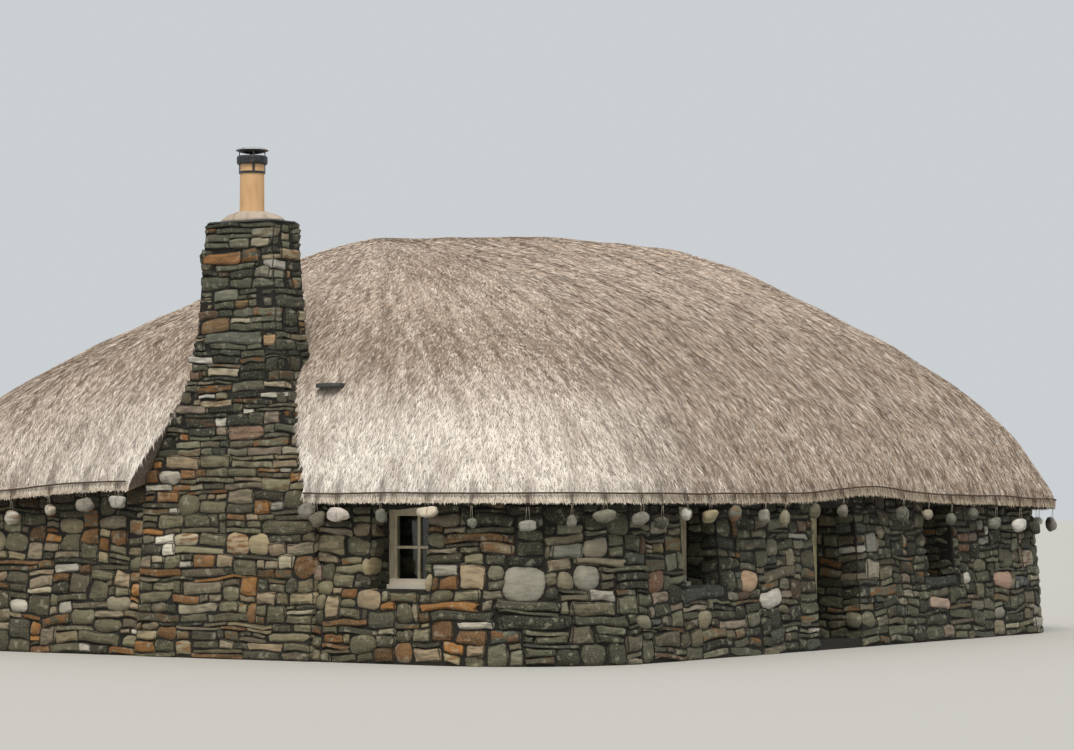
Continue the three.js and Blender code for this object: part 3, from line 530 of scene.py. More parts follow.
def stone_tree():
    """Sets a stone on each point, which carries its half size, its directions up and inward, its shape."""
    sockets = [
        ("Warp", "Float", 0.17), ("Chips", "Float", 0.075), ("Tilt", "Float", 0.07), ("Seed", "Int", 1),
        ("Material", "Material", None),
    ]
    tree, given = new_tree("laid stones", sockets)

    # Stones of 15 kinds, from a cube with swollen faces to a ball, each with lumps of its own
    place = add(tree, "GeometryNodeInputPosition")
    ball = add(tree, "ShaderNodeVectorMath", {0: place}, operation="NORMALIZE")
    wide = add(tree, "ShaderNodeVectorMath", {0: ball, "Scale": BALL_REACH}, operation="SCALE")
    reach = add(tree, "ShaderNodeVectorMath", {0: place}, operation="ABSOLUTE")
    x, _, z = add(tree, "ShaderNodeSeparateXYZ", {0: reach}).node.outputs
    rim = add(tree, "ShaderNodeMath", {0: x, 1: z}, operation="MAXIMUM")
    steep = add(tree, "ShaderNodeMath", {0: rim, 1: RIM_SHARPNESS}, operation="POWER")
    thinned = add(tree, "ShaderNodeMath", {0: steep, 1: -RIM_SINK, 2: 1.0}, operation="MULTIPLY_ADD")
    depth = add(tree, "ShaderNodeCombineXYZ", {0: 1.0, 1: thinned, 2: 1.0})
    swollen = {0: reach, 1: [-SWELLING] * 3, 2: [1 + SWELLING] * 3}
    outer = add(tree, "ShaderNodeVectorMath", swollen, operation="MULTIPLY_ADD")
    stretch = add(tree, "ShaderNodeVectorMath", {0: outer, 1: depth}, operation="MULTIPLY")
    pillow = add(tree, "ShaderNodeVectorMath", {0: place, 1: stretch}, operation="MULTIPLY")
    shapes = add(tree, "GeometryNodeGeometryToInstance")
    for number in reversed(range(len(STONE_SHAPES) * VARIANTS)):
        (x, y, z), roundness, uneven = STONE_SHAPES[number // VARIANTS]
        sides = {"Size": (2, 2, 2), "Vertices X": x, "Vertices Y": y, "Vertices Z": z}
        cube = add(tree, "GeometryNodeMeshCube", sides)
        near = {0: reach, "Scale": ROUNDED_CELL if roundness > 0.5 else 1.0}
        cell = add(tree, "ShaderNodeVectorMath", near, operation="SCALE")
        stored = {0: cube, "Name": "cell", "Value": cell}
        measured = add(tree, "GeometryNodeStoreNamedAttribute", stored, data_type="FLOAT_VECTOR")
        mix = add(tree, "ShaderNodeMix", {0: roundness, 4: pillow, 5: wide}, data_type="VECTOR")
        apart = add(tree, "ShaderNodeVectorMath", {0: place, 1: (number * 7.3, 2.0, 5.0)}, operation="ADD")
        lumpy = {"Vector": apart, "Scale": LUMPS_PER_UNIT, "Detail": 1}
        lumps = add(tree, "ShaderNodeTexNoise", lumpy, "Color")
        even = add(tree, "ShaderNodeVectorMath", {0: lumps, 1: (0.5, 0.5, 0.5)}, operation="SUBTRACT")
        strength = [uneven * axis for axis in LUMP_STRENGTH]
        offset = add(tree, "ShaderNodeVectorMath", {0: even, 1: strength}, operation="MULTIPLY")
        moved = {"Geometry": measured, "Position": mix, "Offset": offset}
        tree.links.new(add(tree, "GeometryNodeSetPosition", moved), shapes.node.inputs[0])

    # One on each point, a little out of true
    up, inward, size, shape = (
        add(tree, "GeometryNodeInputNamedAttribute", {"Name": name}, data_type=kind)
        for name, kind in (*[(name, "FLOAT_VECTOR") for name in ("up", "inward", "size")], ("shape", "INT"))
    )
    axes = {0: up, 1: inward}
    upright = add(tree, "FunctionNodeAxesToRotation", axes, primary_axis="Z", secondary_axis="Y")
    tilt = {0: TILT_AXES, "Scale": given["Tilt"]}
    most = add(tree, "ShaderNodeVectorMath", tilt, operation="SCALE")
    least = add(tree, "ShaderNodeVectorMath", {0: most, "Scale": -1.0}, operation="SCALE")
    span = {0: least, 1: most, "Seed": given["Seed"]}
    wobble = add(tree, "FunctionNodeRandomValue", span, data_type="FLOAT_VECTOR")
    turned = add(tree, "FunctionNodeRotateRotation", {0: upright, 1: wobble}, rotation_space="LOCAL")
    laid = {
        "Points": given["Geometry"], "Instance": shapes, "Pick Instance": True, "Instance Index": shape,
        "Rotation": turned, "Scale": size,
    }
    stones = add(tree, "GeometryNodeRealizeInstances", {0: add(tree, "GeometryNodeInstanceOnPoints", laid)})

    # Warped and chipped, less so in depth, and kept just above the ground
    for scale, amount in ((per_metre(WARP_MM), given["Warp"]), (per_metre(CHIPS_MM), given["Chips"])):
        field = add(tree, "ShaderNodeTexNoise", {"Vector": place, "Scale": scale, "Detail": 1}, "Color")
        even = add(tree, "ShaderNodeVectorMath", {0: field, 1: (0.5, 0.5, 0.5)}, operation="SUBTRACT")
        offset = add(tree, "ShaderNodeVectorMath", {0: even, "Scale": amount}, operation="SCALE")
        depth = add(tree, "ShaderNodeVectorMath", {0: offset, 1: inward}, operation="DOT_PRODUCT")
        held = add(tree, "ShaderNodeMath", {0: depth, 1: -DEPTH_HELD}, operation="MULTIPLY")
        back = add(tree, "ShaderNodeVectorMath", {0: inward, "Scale": held}, operation="SCALE")
        offset = add(tree, "ShaderNodeVectorMath", {0: offset, 1: back}, operation="ADD")
        stones = add(tree, "GeometryNodeSetPosition", {"Geometry": stones, "Offset": offset})
    x, y, z = add(tree, "ShaderNodeSeparateXYZ", {0: place}).node.outputs
    above = add(tree, "ShaderNodeMath", {0: z, 1: GROUND_GAP}, operation="MAXIMUM")
    seated = add(tree, "ShaderNodeCombineXYZ", {0: x, 1: y, 2: above})
    stones = add(tree, "GeometryNodeSetPosition", {"Geometry": stones, "Position": seated})
    limit = {2: shape, 3: BOULDER * VARIANTS}
    rounded = add(tree, "FunctionNodeCompare", limit, data_type="INT", operation="GREATER_EQUAL")
    stones = add(tree, "GeometryNodeSetShadeSmooth", {"Geometry": stones, "Shade Smooth": rounded})
    painted = add(tree, "GeometryNodeSetMaterial", {"Geometry": stones, "Material": given["Material"]})
    tree.links.new(painted, tree.nodes.new("NodeGroupOutput").inputs[0])
    return tree


laid_stones = stone_tree()

# Stone colours with their share of the wall, in dry weather
WALL_TINTS = [
    ("4c4c3d", 20), ("62614e", 20), ("35362d", 16), ("74725e", 13), ("605a48", 9), ("7a725e", 8),
    ("50544b", 6), ("857768", 4), ("6d5644", 2), ("a09783", 4), ("c2bdaf", 2),
]
END_TINTS = [
    ("68644e", 20), ("807a60", 18), ("484638", 13), ("938668", 12), ("8b7e69", 11), ("9e8b70", 8),
    ("a0703c", 6), ("7e5c3a", 6), ("a89e86", 6), ("cbc5b5", 3),
]
STACK_TINTS = [
    ("525243", 26), ("686857", 24), ("3b3c33", 14), ("807f6f", 14), ("8f8369", 8), ("a49b84", 6),
    ("a08059", 4), ("8f6f58", 3), ("cfcabf", 2),
]
SLAB_TINTS = [("3a3d3a", 1), ("47473f", 1)]
SHADES = (0.46, 1.34)


def pick_tint(rng, tints):
    """A colour by its share, darker or paler from stone to stone."""
    code = rng.choices([t[0] for t in tints], [t[1] for t in tints])[0]
    shade = rng.uniform(*SHADES)
    return [channel * shade for channel in srgb(code)[:3]] + [1.0]


class StoneLayout:
    """Collects the stones of one piece: place, directions, half size, shape, colour and own number."""

    COLUMNS = [
        ("up", "FLOAT_VECTOR", "vector"), ("inward", "FLOAT_VECTOR", "vector"),
        ("size", "FLOAT_VECTOR", "vector"), ("shape", "INT", "value"), ("tint", "FLOAT_COLOR", "color"),
        ("seed", "FLOAT", "value"),
    ]

    def __init__(self):
        self.rows = []

    def lay(self, centre, up, inward, half, shape, tint, seed):
        """Adds a stone in one of the variants of its shape."""
        variant = shape * VARIANTS + int(seed * 10) % VARIANTS
        self.rows.append((centre, up, inward, half, variant, tint, seed))

    def build(self, name, **inputs):
        """The stones as one piece."""
        mesh = mesh_of(name, [row[0] for row in self.rows], [])
        for column, (label, kind, field) in enumerate(self.COLUMNS, 1):
            number_kind = np.int32 if kind == "INT" else np.float32
            values = np.array([row[column] for row in self.rows], dtype=number_kind)
            mesh.attributes.new(label, kind, "POINT").data.foreach_set(field, values.ravel())
        return run_tree(link(name, mesh), laid_stones, name, Material=wall_stone, **inputs)


LEAST_WIDTH = 0.09
LEAST_HEIGHT = 0.05
MOST_STRETCH = 1.25
HAIR = 1e-6


def overlap(a, b, c, d):
    """Whether the stretches from a to b and from c to d share more than a hair."""
    return a < d - HAIR and b > c + HAIR


def rubble(rng, start, end, bottom, top, kinds, blocks=()):
    """Fills a stretch of wall from the bottom up with stones, each set on the lowest place so far.

    kinds are (share, least width, most width, least height, most height, shape); blocks are
    (start, end, bottom, top) places that stay free, such as windows and listed stones."""
    sky = [[start, end, bottom]]
    cells = []
    while True:
        sky.sort()
        merged = [sky[0]]
        for a, b, v in sky[1:]:
            if abs(merged[-1][2] - v) < HAIR:
                merged[-1][1] = b
            else:
                merged.append([a, b, v])
        sky = merged
        lowest = min(range(len(sky)), key=lambda k: sky[k][2])
        a, b, v = sky[lowest]
        if v > top - LEAST_HEIGHT:
            return cells
        beside = [block for block in blocks if overlap(a, b, *block[:2])]
        hit = next((block for block in beside if block[2] - LEAST_HEIGHT < v < block[3] - HAIR), None)
        if hit:
            p, q, ceiling = max(a, hit[0]), min(b, hit[1]), hit[3]
        else:
            _, narrow, wide, thin, thick, shape = rng.choices(kinds, [kind[0] for kind in kinds])[0]
            width = rng.uniform(narrow, wide)
            ceiling = v + rng.uniform(thin, thick)
            if b - a - width < LEAST_WIDTH:
                width = b - a
            if width > wide * MOST_STRETCH:
                width = (b - a) / 2
            p, q = (a, a + width) if rng.random() < 0.5 else (b - width, b)
            for near in (lowest - 1, lowest + 1):
                if 0 <= near < len(sky) and v < sky[near][2] and abs(sky[near][2] - ceiling) < LEAST_HEIGHT:
                    ceiling = sky[near][2]
            for low, high, foot, _ in beside:
                if overlap(p, q, low, high) and v < foot < ceiling + LEAST_HEIGHT:
                    ceiling = foot
            if top - ceiling < LEAST_HEIGHT:
                ceiling = top
            cells.append((p, q, v, ceiling, shape))
        sky[lowest] = [p, q, ceiling]
        sky += [[low, high, v] for low, high in ((a, p), (q, b)) if high - low > HAIR]


# Kinds of stone: share, least and most width, least and most height, shape
WALL_KINDS = [
    (26, 0.24, 0.5, 0.11, 0.19, BLOCK), (30, 0.35, 0.85, 0.06, 0.13, SLAB),
    (12, 0.24, 0.42, 0.19, 0.28, BLOCK), (14, 0.13, 0.28, 0.07, 0.14, BLOCK),
    (11, 0.24, 0.45, 0.16, 0.28, BOULDER), (7, 0.5, 0.9, 0.14, 0.2, BLOCK),
]
STACK_KINDS = [
    (46, 0.3, 0.65, 0.07, 0.12, SLAB), (26, 0.24, 0.5, 0.1, 0.16, SLAB),
    (8, 0.14, 0.28, 0.06, 0.11, BLOCK), (20, 0.35, 0.62, 0.13, 0.2, BLOCK),
]

# Stones that stand out, given one by one: from, to, bottom, top, colour and shape
WALL_FEATURES = [
    (-2.76, -2.5, 0.93, 1.09, "7f5b36", BLOCK), (-1.93, -1.47, 0.81, 1.24, "9b988a", BOULDER),
    (0.15, 0.44, 1.36, 1.5, "827550", BLOCK), (0.05, 0.38, 0.88, 1.13, "775946", BOULDER),
    (2.35, 2.75, 0.85, 1.12, "c0a183", BOULDER), (2.82, 3.37, 0.6, 0.84, "cdc8bc", BOULDER),
    (6.9, 7.2, 0.62, 0.74, "a39c8b", BLOCK), (5.86, 6.2, 0.92, 1.2, "98907f", BLOCK),
    (5.86, 6.17, 1.3, 1.55, "8f8d84", BLOCK), (7.68, 8.36, 0.42, 0.6, "b39c8b", BLOCK),
    (9.94, 10.5, 0.73, 0.97, "b89785", BOULDER), (8.86, 9.09, 0.79, 0.96, "c8c3b6", BOULDER),
    (10.6, 11.1, 0.7, 0.88, "55565a", SLAB), (10.91, 11.36, 1.02, 1.28, "a9a193", BLOCK),
    (-1.41, -0.97, 1.3, 1.51, "7c7c70", BLOCK), (-1.1, -0.79, 0.93, 1.2, "8f8d80", BOULDER),
    (-4.81, -4.57, 1.0, 1.22, "94806f", BLOCK),
]
CHIMNEY_FEATURES = [
    (-0.6, 0.06, 5.1, 5.26, "92663c", SLAB), (-1.07, -0.71, 5.31, 5.44, "a59c86", BLOCK),
    (-1.1, -0.85, 4.9, 5.04, "8c8676", BLOCK), (-1.0, 0.05, 4.04, 4.21, "66675c", SLAB),
    (-1.2, -1.02, 4.02, 4.16, "b08f68", SLAB), (-0.2, 0.24, 3.8, 3.9, "d8d2c6", SLAB),
    (-0.64, -0.12, 3.63, 3.75, "b7ab92", SLAB), (-1.4, -1.04, 3.47, 3.56, "b4a78e", SLAB),
    (-0.26, 0.03, 3.35, 3.41, "d6d1c6", SLAB), (-1.45, -0.98, 3.33, 3.41, "c9c3b5", SLAB),
    (-0.53, -0.03, 3.24, 3.33, "a99b80", SLAB), (-0.9, -0.72, 3.14, 3.21, "d4cdc0", SLAB),
    (-1.08, -0.47, 2.81, 2.99, "8a6f5b", BLOCK), (0.18, 0.34, 2.81, 2.91, "96643a", BLOCK),
    (0.3, 0.64, 2.25, 2.41, "b9b0a2", BOULDER),
]
SIDES = ("front", "right", "back", "left")
UP = Vector((0, 0, 1))


def sideways(normal):
    """Direction along a wall, to the right of someone who faces it from outside."""
    return Vector((-normal.y, normal.x, 0))


class RoundedRectangle:
    """A path round the house from the start of its front side, with the length of each stretch."""

    def __init__(self, half, corner):
        self.half = half
        self.corner = corner
        self.front = 2 * (half[0] - corner)
        self.end = 2 * (half[1] - corner)
        self.quarter = corner * math.pi / 2
        self.around = 2 * self.front + 2 * self.end + 4 * self.quarter
        between = (self.quarter + self.end, self.quarter + self.front, self.quarter + self.end)
        self.corner_middles = np.cumsum([self.front + self.quarter / 2, *between]).tolist()

    def distance(self, side, u):
        """Distance to a place given by its X on the long sides or its Y on the end sides."""
        middles = {
            "front": self.front / 2 + u,
            "right": self.front + self.quarter + self.end / 2 + u,
            "back": self.front + 2 * self.quarter + self.end + self.front / 2 - u,
            "left": 2 * self.front + 3 * self.quarter + self.end + self.end / 2 - u,
        }
        return middles[side]

    def side(self, distance):
        """Name of the side at a distance, from one corner's middle to the next one's."""
        passed = sum(distance % self.around > middle for middle in self.corner_middles)
        return SIDES[passed % 4]

    def point(self, distance):
        """Place and outward normal at a distance."""
        distance %= self.around
        for number in range(4):
            angle = (number - 1) * math.pi / 2
            normal = Vector((math.cos(angle), math.sin(angle), 0))
            along = sideways(normal)
            length = (self.front, self.end)[number % 2]
            if distance <= length:
                middle = Vector((normal.x * self.half[0], normal.y * self.half[1], 0))
                return middle + along * (distance - length / 2), normal
            distance -= length
            if distance <= self.quarter:
                turn = angle + distance / self.corner
                inner = [half - self.corner for half in self.half]
                centre = Vector(((normal.x + along.x) * inner[0], (normal.y + along.y) * inner[1], 0))
                out = Vector((math.cos(turn), math.sin(turn), 0))
                return centre + out * self.corner, out
            distance -= self.quarter
        return self.point(0)


wall = RoundedRectangle([half - OVERHANG for half in EAVE_HALF], EAVE_CORNER - OVERHANG)
eave = RoundedRectangle(EAVE_HALF, EAVE_CORNER)
wall_layouts = {side: StoneLayout() for side in SIDES}
STONES_TOP = WALL_TOP - 0.02

# Gaps between stones; those between the courses of the chimney are thinner
JOINT = 0.002
CHIMNEY_BED = JOINT / 1.2

# Depth of a stone and how far its face stands proud, in the open wall and beside an opening, where a stone
# also runs past the edge
WALL_DEPTH = 0.11
WALL_PROUD = (0.02, 0.045)
JAMB_DEPTH = (0.14, 0.18)
JAMB_PROUD = (0.024, 0.036)
JAMB_LAP = 0.022
SLAB_DEPTH = 0.2
SLAB_PROUD = 0.036
FEATURE_PROUD = 0.044

# Heights, and the share of its own colour that a stone keeps there: painted shade under the thatch edge
EAVE_PAINTED_SHADE = ((1.6, 1.92), (1.0, 0.3))

# Sill slabs: height and how far each end runs past the window; reveal stones: height, length and depth
SILL_SLAB = 0.19
SILL_PAST = (0.1, 0.14)
REVEAL_HEIGHT = (0.08, 0.17)
REVEAL_LENGTH = (0.26, 0.5)
REVEAL_DEPTH = 0.1
REVEAL_PROUD = 0.017
REVEAL_START = 0.2

# Least height and length of a reveal's last stone, how near the frame it has to come, and its gap there
REVEAL_TOP = 0.06
REVEAL_LAST = 0.1
REVEAL_REACHES = 0.04
REVEAL_GAP = 0.012

# Stretch of the chimney end with paler stones: its far end in Y, and its near end before the front wall
PALE_FAR = 5
PALE_NEAR = 2.2


def batter_at(z):
    """How far the battered outer face stands out at a height."""
    return WALL_BATTER * (WALL_TOP - z) / WALL_TOP


def lay_wall_stone(rng, cell, shape, tint, depth=WALL_DEPTH, proud=None):
    """Sets one stone in the outer face of the wall, with painted shade where the thatch edge shades it."""
    p, q, v0, v1 = cell
    u, v = (p + q) / 2, (v0 + v1) / 2
    point, normal = wall.point(u)
    up = (UP * WALL_TOP - normal * WALL_BATTER).normalized()
    proud = rng.uniform(*WALL_PROUD) if proud is None else proud
    centre = point + normal * (batter_at(v) + proud - depth) + UP * v
    half = ((q - p) / 2 - JOINT / 2, depth, (v1 - v0) / 2 - JOINT / 2)
    # Painted shade: stones near the wall top are darkened as if in the thatch edge's shadow
    lit = float(np.interp(v, *EAVE_PAINTED_SHADE))
    shaded = [channel * lit for channel in tint[:3]] + [1.0]
    seed = rng.randrange(40) + rng.uniform(0, 0.3 if shape == BOULDER else 1.0)
    wall_layouts[wall.side(u)].lay(centre, up, -normal, half, shape, shaded, seed)


def opening_blocks():
    """Places that the rubble leaves free at the windows, and the long slabs among them: lintels and sills."""
    blocks, slabs = [], []
    for name, (side, u, _) in WINDOWS.items():
        middle = wall.distance(side, u)
        low, high = middle - WINDOW_WIDTH / 2, middle + WINDOW_WIDTH / 2
        blocks.append((low, high, SILL_HEIGHT, STONES_TOP))
        slabs.append((low, high, LINTEL_BOTTOM, STONES_TOP))
        if name != "end_window":
            sill = (low - SILL_PAST[0], high + SILL_PAST[1], SILL_HEIGHT - SILL_SLAB, SILL_HEIGHT)
            blocks.append(sill)
            slabs.append(sill)
    return blocks, slabs


def lay_walls():
    """Rubble both ways round from the doorway to the chimney, then the listed stones, lintels and sills."""
    rng = random.Random(7)
    blocks, slabs = opening_blocks()
    blocks += [feature[:4] for feature in WALL_FEATURES]
    blocks += [(p + wall.around, q + wall.around, v0, v1) for p, q, v0, v1 in blocks]
    door = wall.distance("front", DOOR_X)
    door_left, door_right = door - DOORWAY_WIDTH / 2, door + DOORWAY_WIDTH / 2
    breast_far, breast_near = (wall.distance("left", CHIMNEY_Y + y) for y in (BREAST_HALF, -BREAST_HALF))
    pale_from, pale_to = wall.distance("left", PALE_FAR), wall.around - PALE_NEAR
    for start, end in ((door_right, breast_far), (breast_near, wall.around + door_left)):
        edges = [start, end] + [edge for block in blocks for edge in block[:2] if block[3] > 2]
        for p, q, v0, v1, shape in rubble(rng, start, end, 0.0, STONES_TOP, WALL_KINDS, blocks):
            before, after = (any(abs(side - edge) < HAIR for edge in edges) for side in (p, q))
            depth = rng.uniform(*JAMB_DEPTH) if before or after else WALL_DEPTH
            proud = rng.uniform(*JAMB_PROUD) if before or after else None
            tint = pick_tint(rng, END_TINTS if pale_from < p % wall.around < pale_to else WALL_TINTS)
            cell = (p - JAMB_LAP * before, q + JAMB_LAP * after, v0, v1)
            lay_wall_stone(rng, cell, shape, tint, depth, proud)
    for *cell, code, shape in WALL_FEATURES:
        lay_wall_stone(rng, cell, shape, srgb(code), proud=FEATURE_PROUD)
    for slab in [*slabs, (door_left, door_right, LINTEL_BOTTOM, STONES_TOP)]:
        tint = pick_tint(rng, SLAB_TINTS)
        lay_wall_stone(rng, slab, SLAB, tint, SLAB_DEPTH, SLAB_PROUD)


def lay_reveals():
    """Lines the sides of each opening, from the outer face to its timber frame."""
    rng = random.Random(19)
    openings = [(side, u, WINDOW_WIDTH / 2, SILL_HEIGHT, setback) for side, u, setback in WINDOWS.values()]
    openings.append(("front", DOOR_X, DOORWAY_WIDTH / 2, THRESHOLD_HEIGHT, DOOR_SETBACK))
    for side, u, half_width, bottom, setback in openings:
        face, normal = wall.point(wall.distance(side, u))
        for hand in (-1, 1):
            across = sideways(normal) * hand
            v = bottom
            while v < LINTEL_BOTTOM - LEAST_HEIGHT:
                height = rng.uniform(*REVEAL_HEIGHT)
                if LINTEL_BOTTOM - v - height < REVEAL_TOP:
                    height = LINTEL_BOTTOM - v
                middle = v + height / 2
                front = REVEAL_START - batter_at(middle)
                while front < setback - REVEAL_REACHES:
                    length = rng.uniform(*REVEAL_LENGTH)
                    if setback - front - length < REVEAL_LAST:
                        length = setback - front - REVEAL_GAP
                    inset = half_width + REVEAL_DEPTH - REVEAL_PROUD
                    centre = face + across * inset - normal * (front + length / 2) + UP * middle
                    half = (length / 2 - JOINT / 2, REVEAL_DEPTH, height / 2 - JOINT / 2)
                    tint = pick_tint(rng, WALL_TINTS[:5])
                    wall_layouts[side].lay(centre, UP, across, half, BLOCK, tint, rng.uniform(0, 40))
                    front += length
                v += height


def chimney_level(z):
    """Half width, front and back of the chimney at a height."""
    heights, *columns = zip(*CHIMNEY_LEVELS)
    return [float(np.interp(z, heights, column)) for column in columns]


# Heights of the chimney's courses, where they are low and elsewhere, and the length of a corner stone
LOW_COURSES_FROM, LOW_COURSES_TO = 2.2, 3.7
LOW_COURSE = (0.1, 0.17)
COURSE = (0.22, 0.34)
CORNER_STONE = (0.18, 0.26)
FACE_DEPTH = 0.08
FEATURE_DEPTH = 0.1
CHIMNEY_PROUD = (0.02, 0.042)

# The least height of the top course, how far a course laps past a corner, and the heights where the kinds of
# stone and their colours change up the chimney
THINNEST_TOP = 0.14
CORNER_LAP = 0.02
WALL_KINDS_TO = 2.0
END_TINTS_TO, WALL_TINTS_TO = 2.5, 3.9


def lay_chimney_stone(layout, rng, normal, cell, shape, tint, depth):
    """Sets one stone in a face of the chimney."""
    p, q, v0, v1 = cell
    z = (v0 + v1) / 2
    half, front, back = chimney_level(z)
    reach = (back - front) / 2 if normal.x else half
    centre = Vector(((front + back) / 2 - EAVE_HALF[0], CHIMNEY_Y, z)) + sideways(normal) * (p + q) / 2
    centre += normal * (reach + rng.uniform(*CHIMNEY_PROUD) - depth)
    size = ((q - p) / 2 - JOINT / 2, depth, (v1 - v0) / 2 - CHIMNEY_BED / 2)
    layout.lay(centre, UP, -normal, size, shape, tint, rng.uniform(0, 40))


def lay_chimney():
    """Courses on the four sides of the chimney, with long corner stones that change sides at each course."""
    rng = random.Random(31)
    layout = StoneLayout()
    features = [((CHIMNEY_Y - b, CHIMNEY_Y - a, v0, v1), *look) for a, b, v0, v1, *look in CHIMNEY_FEATURES]
    z, course = 0.0, 0
    while z < STACK_TOP - HAIR:
        height = rng.uniform(*(LOW_COURSE if LOW_COURSES_FROM < z < LOW_COURSES_TO else COURSE))
        if STACK_TOP - z - height < THINNEST_TOP:
            height = STACK_TOP - z
        half, front, back = chimney_level(z + height / 2)
        corner = rng.uniform(*CORNER_STONE)
        breast = z < WALL_TOP
        kinds = WALL_KINDS if z < WALL_KINDS_TO else STACK_KINDS
        tints = END_TINTS if z < END_TINTS_TO else WALL_TINTS if z < WALL_TINTS_TO else STACK_TINTS
        for number, normal in enumerate([(-1, 0, 0), (0, -1, 0), (1, 0, 0), (0, 1, 0)][: 1 if breast else 4]):
            full = breast or course % 2 == number % 2
            reach = (back - front) / 2 if number % 2 else half
            run = reach + CORNER_LAP if full else reach - corner
            free = () if number else [cell for cell, *_ in features]
            for p, q, v0, v1, shape in rubble(rng, -run, run, z, z + height, kinds, free):
                at_end = p < -run + HAIR or q > run - HAIR
                depth = corner / 2 if at_end and full else FACE_DEPTH
                tint = pick_tint(rng, tints)
                lay_chimney_stone(layout, rng, Vector(normal), (p, q, v0, v1), shape, tint, depth)
        z += height
        course += 1
    for cell, code, shape in features:
        lay_chimney_stone(layout, rng, Vector((-1, 0, 0)), cell, shape, srgb(code), FEATURE_DEPTH)
    return layout.build("chimney_stones", Seed=5, Warp=0.11, Chips=0.07, Tilt=0.045)


lay_walls()
lay_reveals()
for number, (side, layout) in enumerate(wall_layouts.items()):
    finish_piece(layout.build(side + "_wall_stones", Seed=number))
finish_piece(lay_chimney())


# Thatch: smooth outer skin, soffit and inner face in one shell, cut round the chimney
STATION_SPACING = 0.16
SLOPE_RINGS = 48
NOTCH_BACK = -EAVE_HALF[0] + 1.156
NOTCH_CLEARANCE = 0.006
PROFILE_STEPS = 600

# Thickness of the lip under the edge, the share of the rise over which the lifts of the edge fade, and where
# the dip of the ridge starts and how far up it grows
EDGE_LIP = 0.06
LIFT_FADES = 0.45
DIP_FROM, DIP_OVER = 0.2, 0.5

# Settling of the thatch: waves per metre and depth of its broad and small swells, the height of the edge that
# stays calm, and the height over the edge where they are full
BROAD_SCALE, BROAD_DEPTH = 0.55, 0.045
SMALL_SCALE, SMALL_DEPTH = 1.9, 0.02
CALM_EDGE = 0.14
FULL_AT = 0.6

# Share of the way up where the hips are at their roundest
HIP_ROUND_AT = 0.5

# Room between the walls and the inner face, and how near to each other points become one
INSIDE_ROOM = 0.02
MERGED_WITHIN = 0.0005

# Upward part of a normal under which a low face is underside and one turned inwards is inner face, and the
# height that the underside stays below
UNDERSIDE_TILT, INNER_TILT = 0.02, 0.5
UNDERSIDE_TOP = 2.3

# Notch cutter: how far it starts outside the thatch edge, and its foot and head
CUTTER_OUT = 0.3
CUTTER_FOOT, CUTTER_HEAD = 1.5, 6.5
CUTTER_SEAT = 0.002

# Stems grow on faces that look outwards or upwards by this much, down to this far under the edge's height
LOOKS_OUT, LOOKS_UP = 0.25, 0.3
GROWS_BELOW = 0.2

# Faces of the notch: how squarely they look at the chimney, how near they lie to it and to the notch's back,
# and the X that they stay behind
NOTCH_SQUARE = 0.8
NOTCH_NEAR, BACK_NEAR = 0.05, 0.03
NOTCH_X = -6

# An end's slope begins where the way out has this share of X to Y; way round the roof in metres per radian
END_SLOPE_FROM = 0.75
AROUND_PER_TURN = 4.5


def eased(share):
    """A share held between 0 and 1 that leaves both ends gently."""
    held = min(1, max(0, share))
    return held * held * (3 - 2 * held)


def smooth_run(values, window):
    """Running mean that keeps both ends."""
    padded = np.concatenate([np.full(window, values[0]), values, np.full(window, values[-1])])
    kernel = np.hanning(2 * window + 1)
    smooth = np.convolve(padded, kernel / kernel.sum(), mode="same")[window:-window]
    steps = np.arange(len(values))
    fade = np.minimum(1, np.minimum(steps, steps[::-1]) / window)
    return values * (1 - fade) + smooth * fade


def profile_samples(count):
    """Shares of run and rise up the outer slope, evenly spaced along it and smoothed."""
    runs, rises = np.array(ROOF_PROFILE, dtype=float).T
    steps = np.hypot(np.diff(runs) * EAVE_HALF[1], np.diff(rises) * ROOF_RISE)
    length = np.concatenate([[0], np.cumsum(steps)])
    fine = np.arange(PROFILE_STEPS)
    evenly = np.linspace(0, length[-1], PROFILE_STEPS)
    smooth = [smooth_run(np.interp(evenly, length, values), 20) for values in (runs, rises)]
    return [np.interp(np.linspace(0, fine[-1], count), fine, values) for values in smooth]


def swell(lift, x, y):
    """Height of a rounded rise or dip at a place."""
    middle_x, middle_y, rise, reach = lift
    return rise * np.exp(-((x - middle_x) ** 2 + (y - middle_y) ** 2) / (2 * reach**2))


def eave_lift(x, y):
    """How far the thatch edge stands above its level height."""
    return sum(swell(lift, x, y) for lift in EAVE_LIFTS)


def station_shares():
    """Shares of the straight sides and outward normals at even steps round the thatch edge."""
    rows = []
    arc = round(eave.quarter / STATION_SPACING)
    for number in range(4):
        angle = (number - 1) * math.pi / 2
        steps = round((eave.front, eave.end)[number % 2] / STATION_SPACING)
        out = (math.cos(angle), math.sin(angle))
        for share in (-1 + 2 * i / steps for i in range(steps)):
            rows.append((out[0] - out[1] * share, out[1] + out[0] * share, *out))
        for turn in (angle + i / arc * math.pi / 2 for i in range(arc)):
            rows.append((out[0] - out[1], out[1] + out[0], math.cos(turn), math.sin(turn)))
    return np.array(rows)


stations = station_shares()


def roof_ring(half_x, half_y, corner, z):
    """Points of a level rounded rectangle through every station."""
    x = stations[:, 0] * (half_x - corner) + corner * stations[:, 2]
    y = stations[:, 1] * (half_y - corner) + corner * stations[:, 3]
    return np.stack([x, y, np.full(len(x), z)], axis=1)


def ring_to_ridge(half, corner, ridge_half, share, z):
    """The ring a share of the way up to a ridge, with hips that grow rounder on the way."""
    half_x = half[0] + (ridge_half - half[0]) * share
    rounder = corner + (half[1] - corner) * eased(share / HIP_ROUND_AT) * HIP_ROUNDNESS
    return roof_ring(half_x, half[1] * (1 - share), (1 - share) * rounder, z)


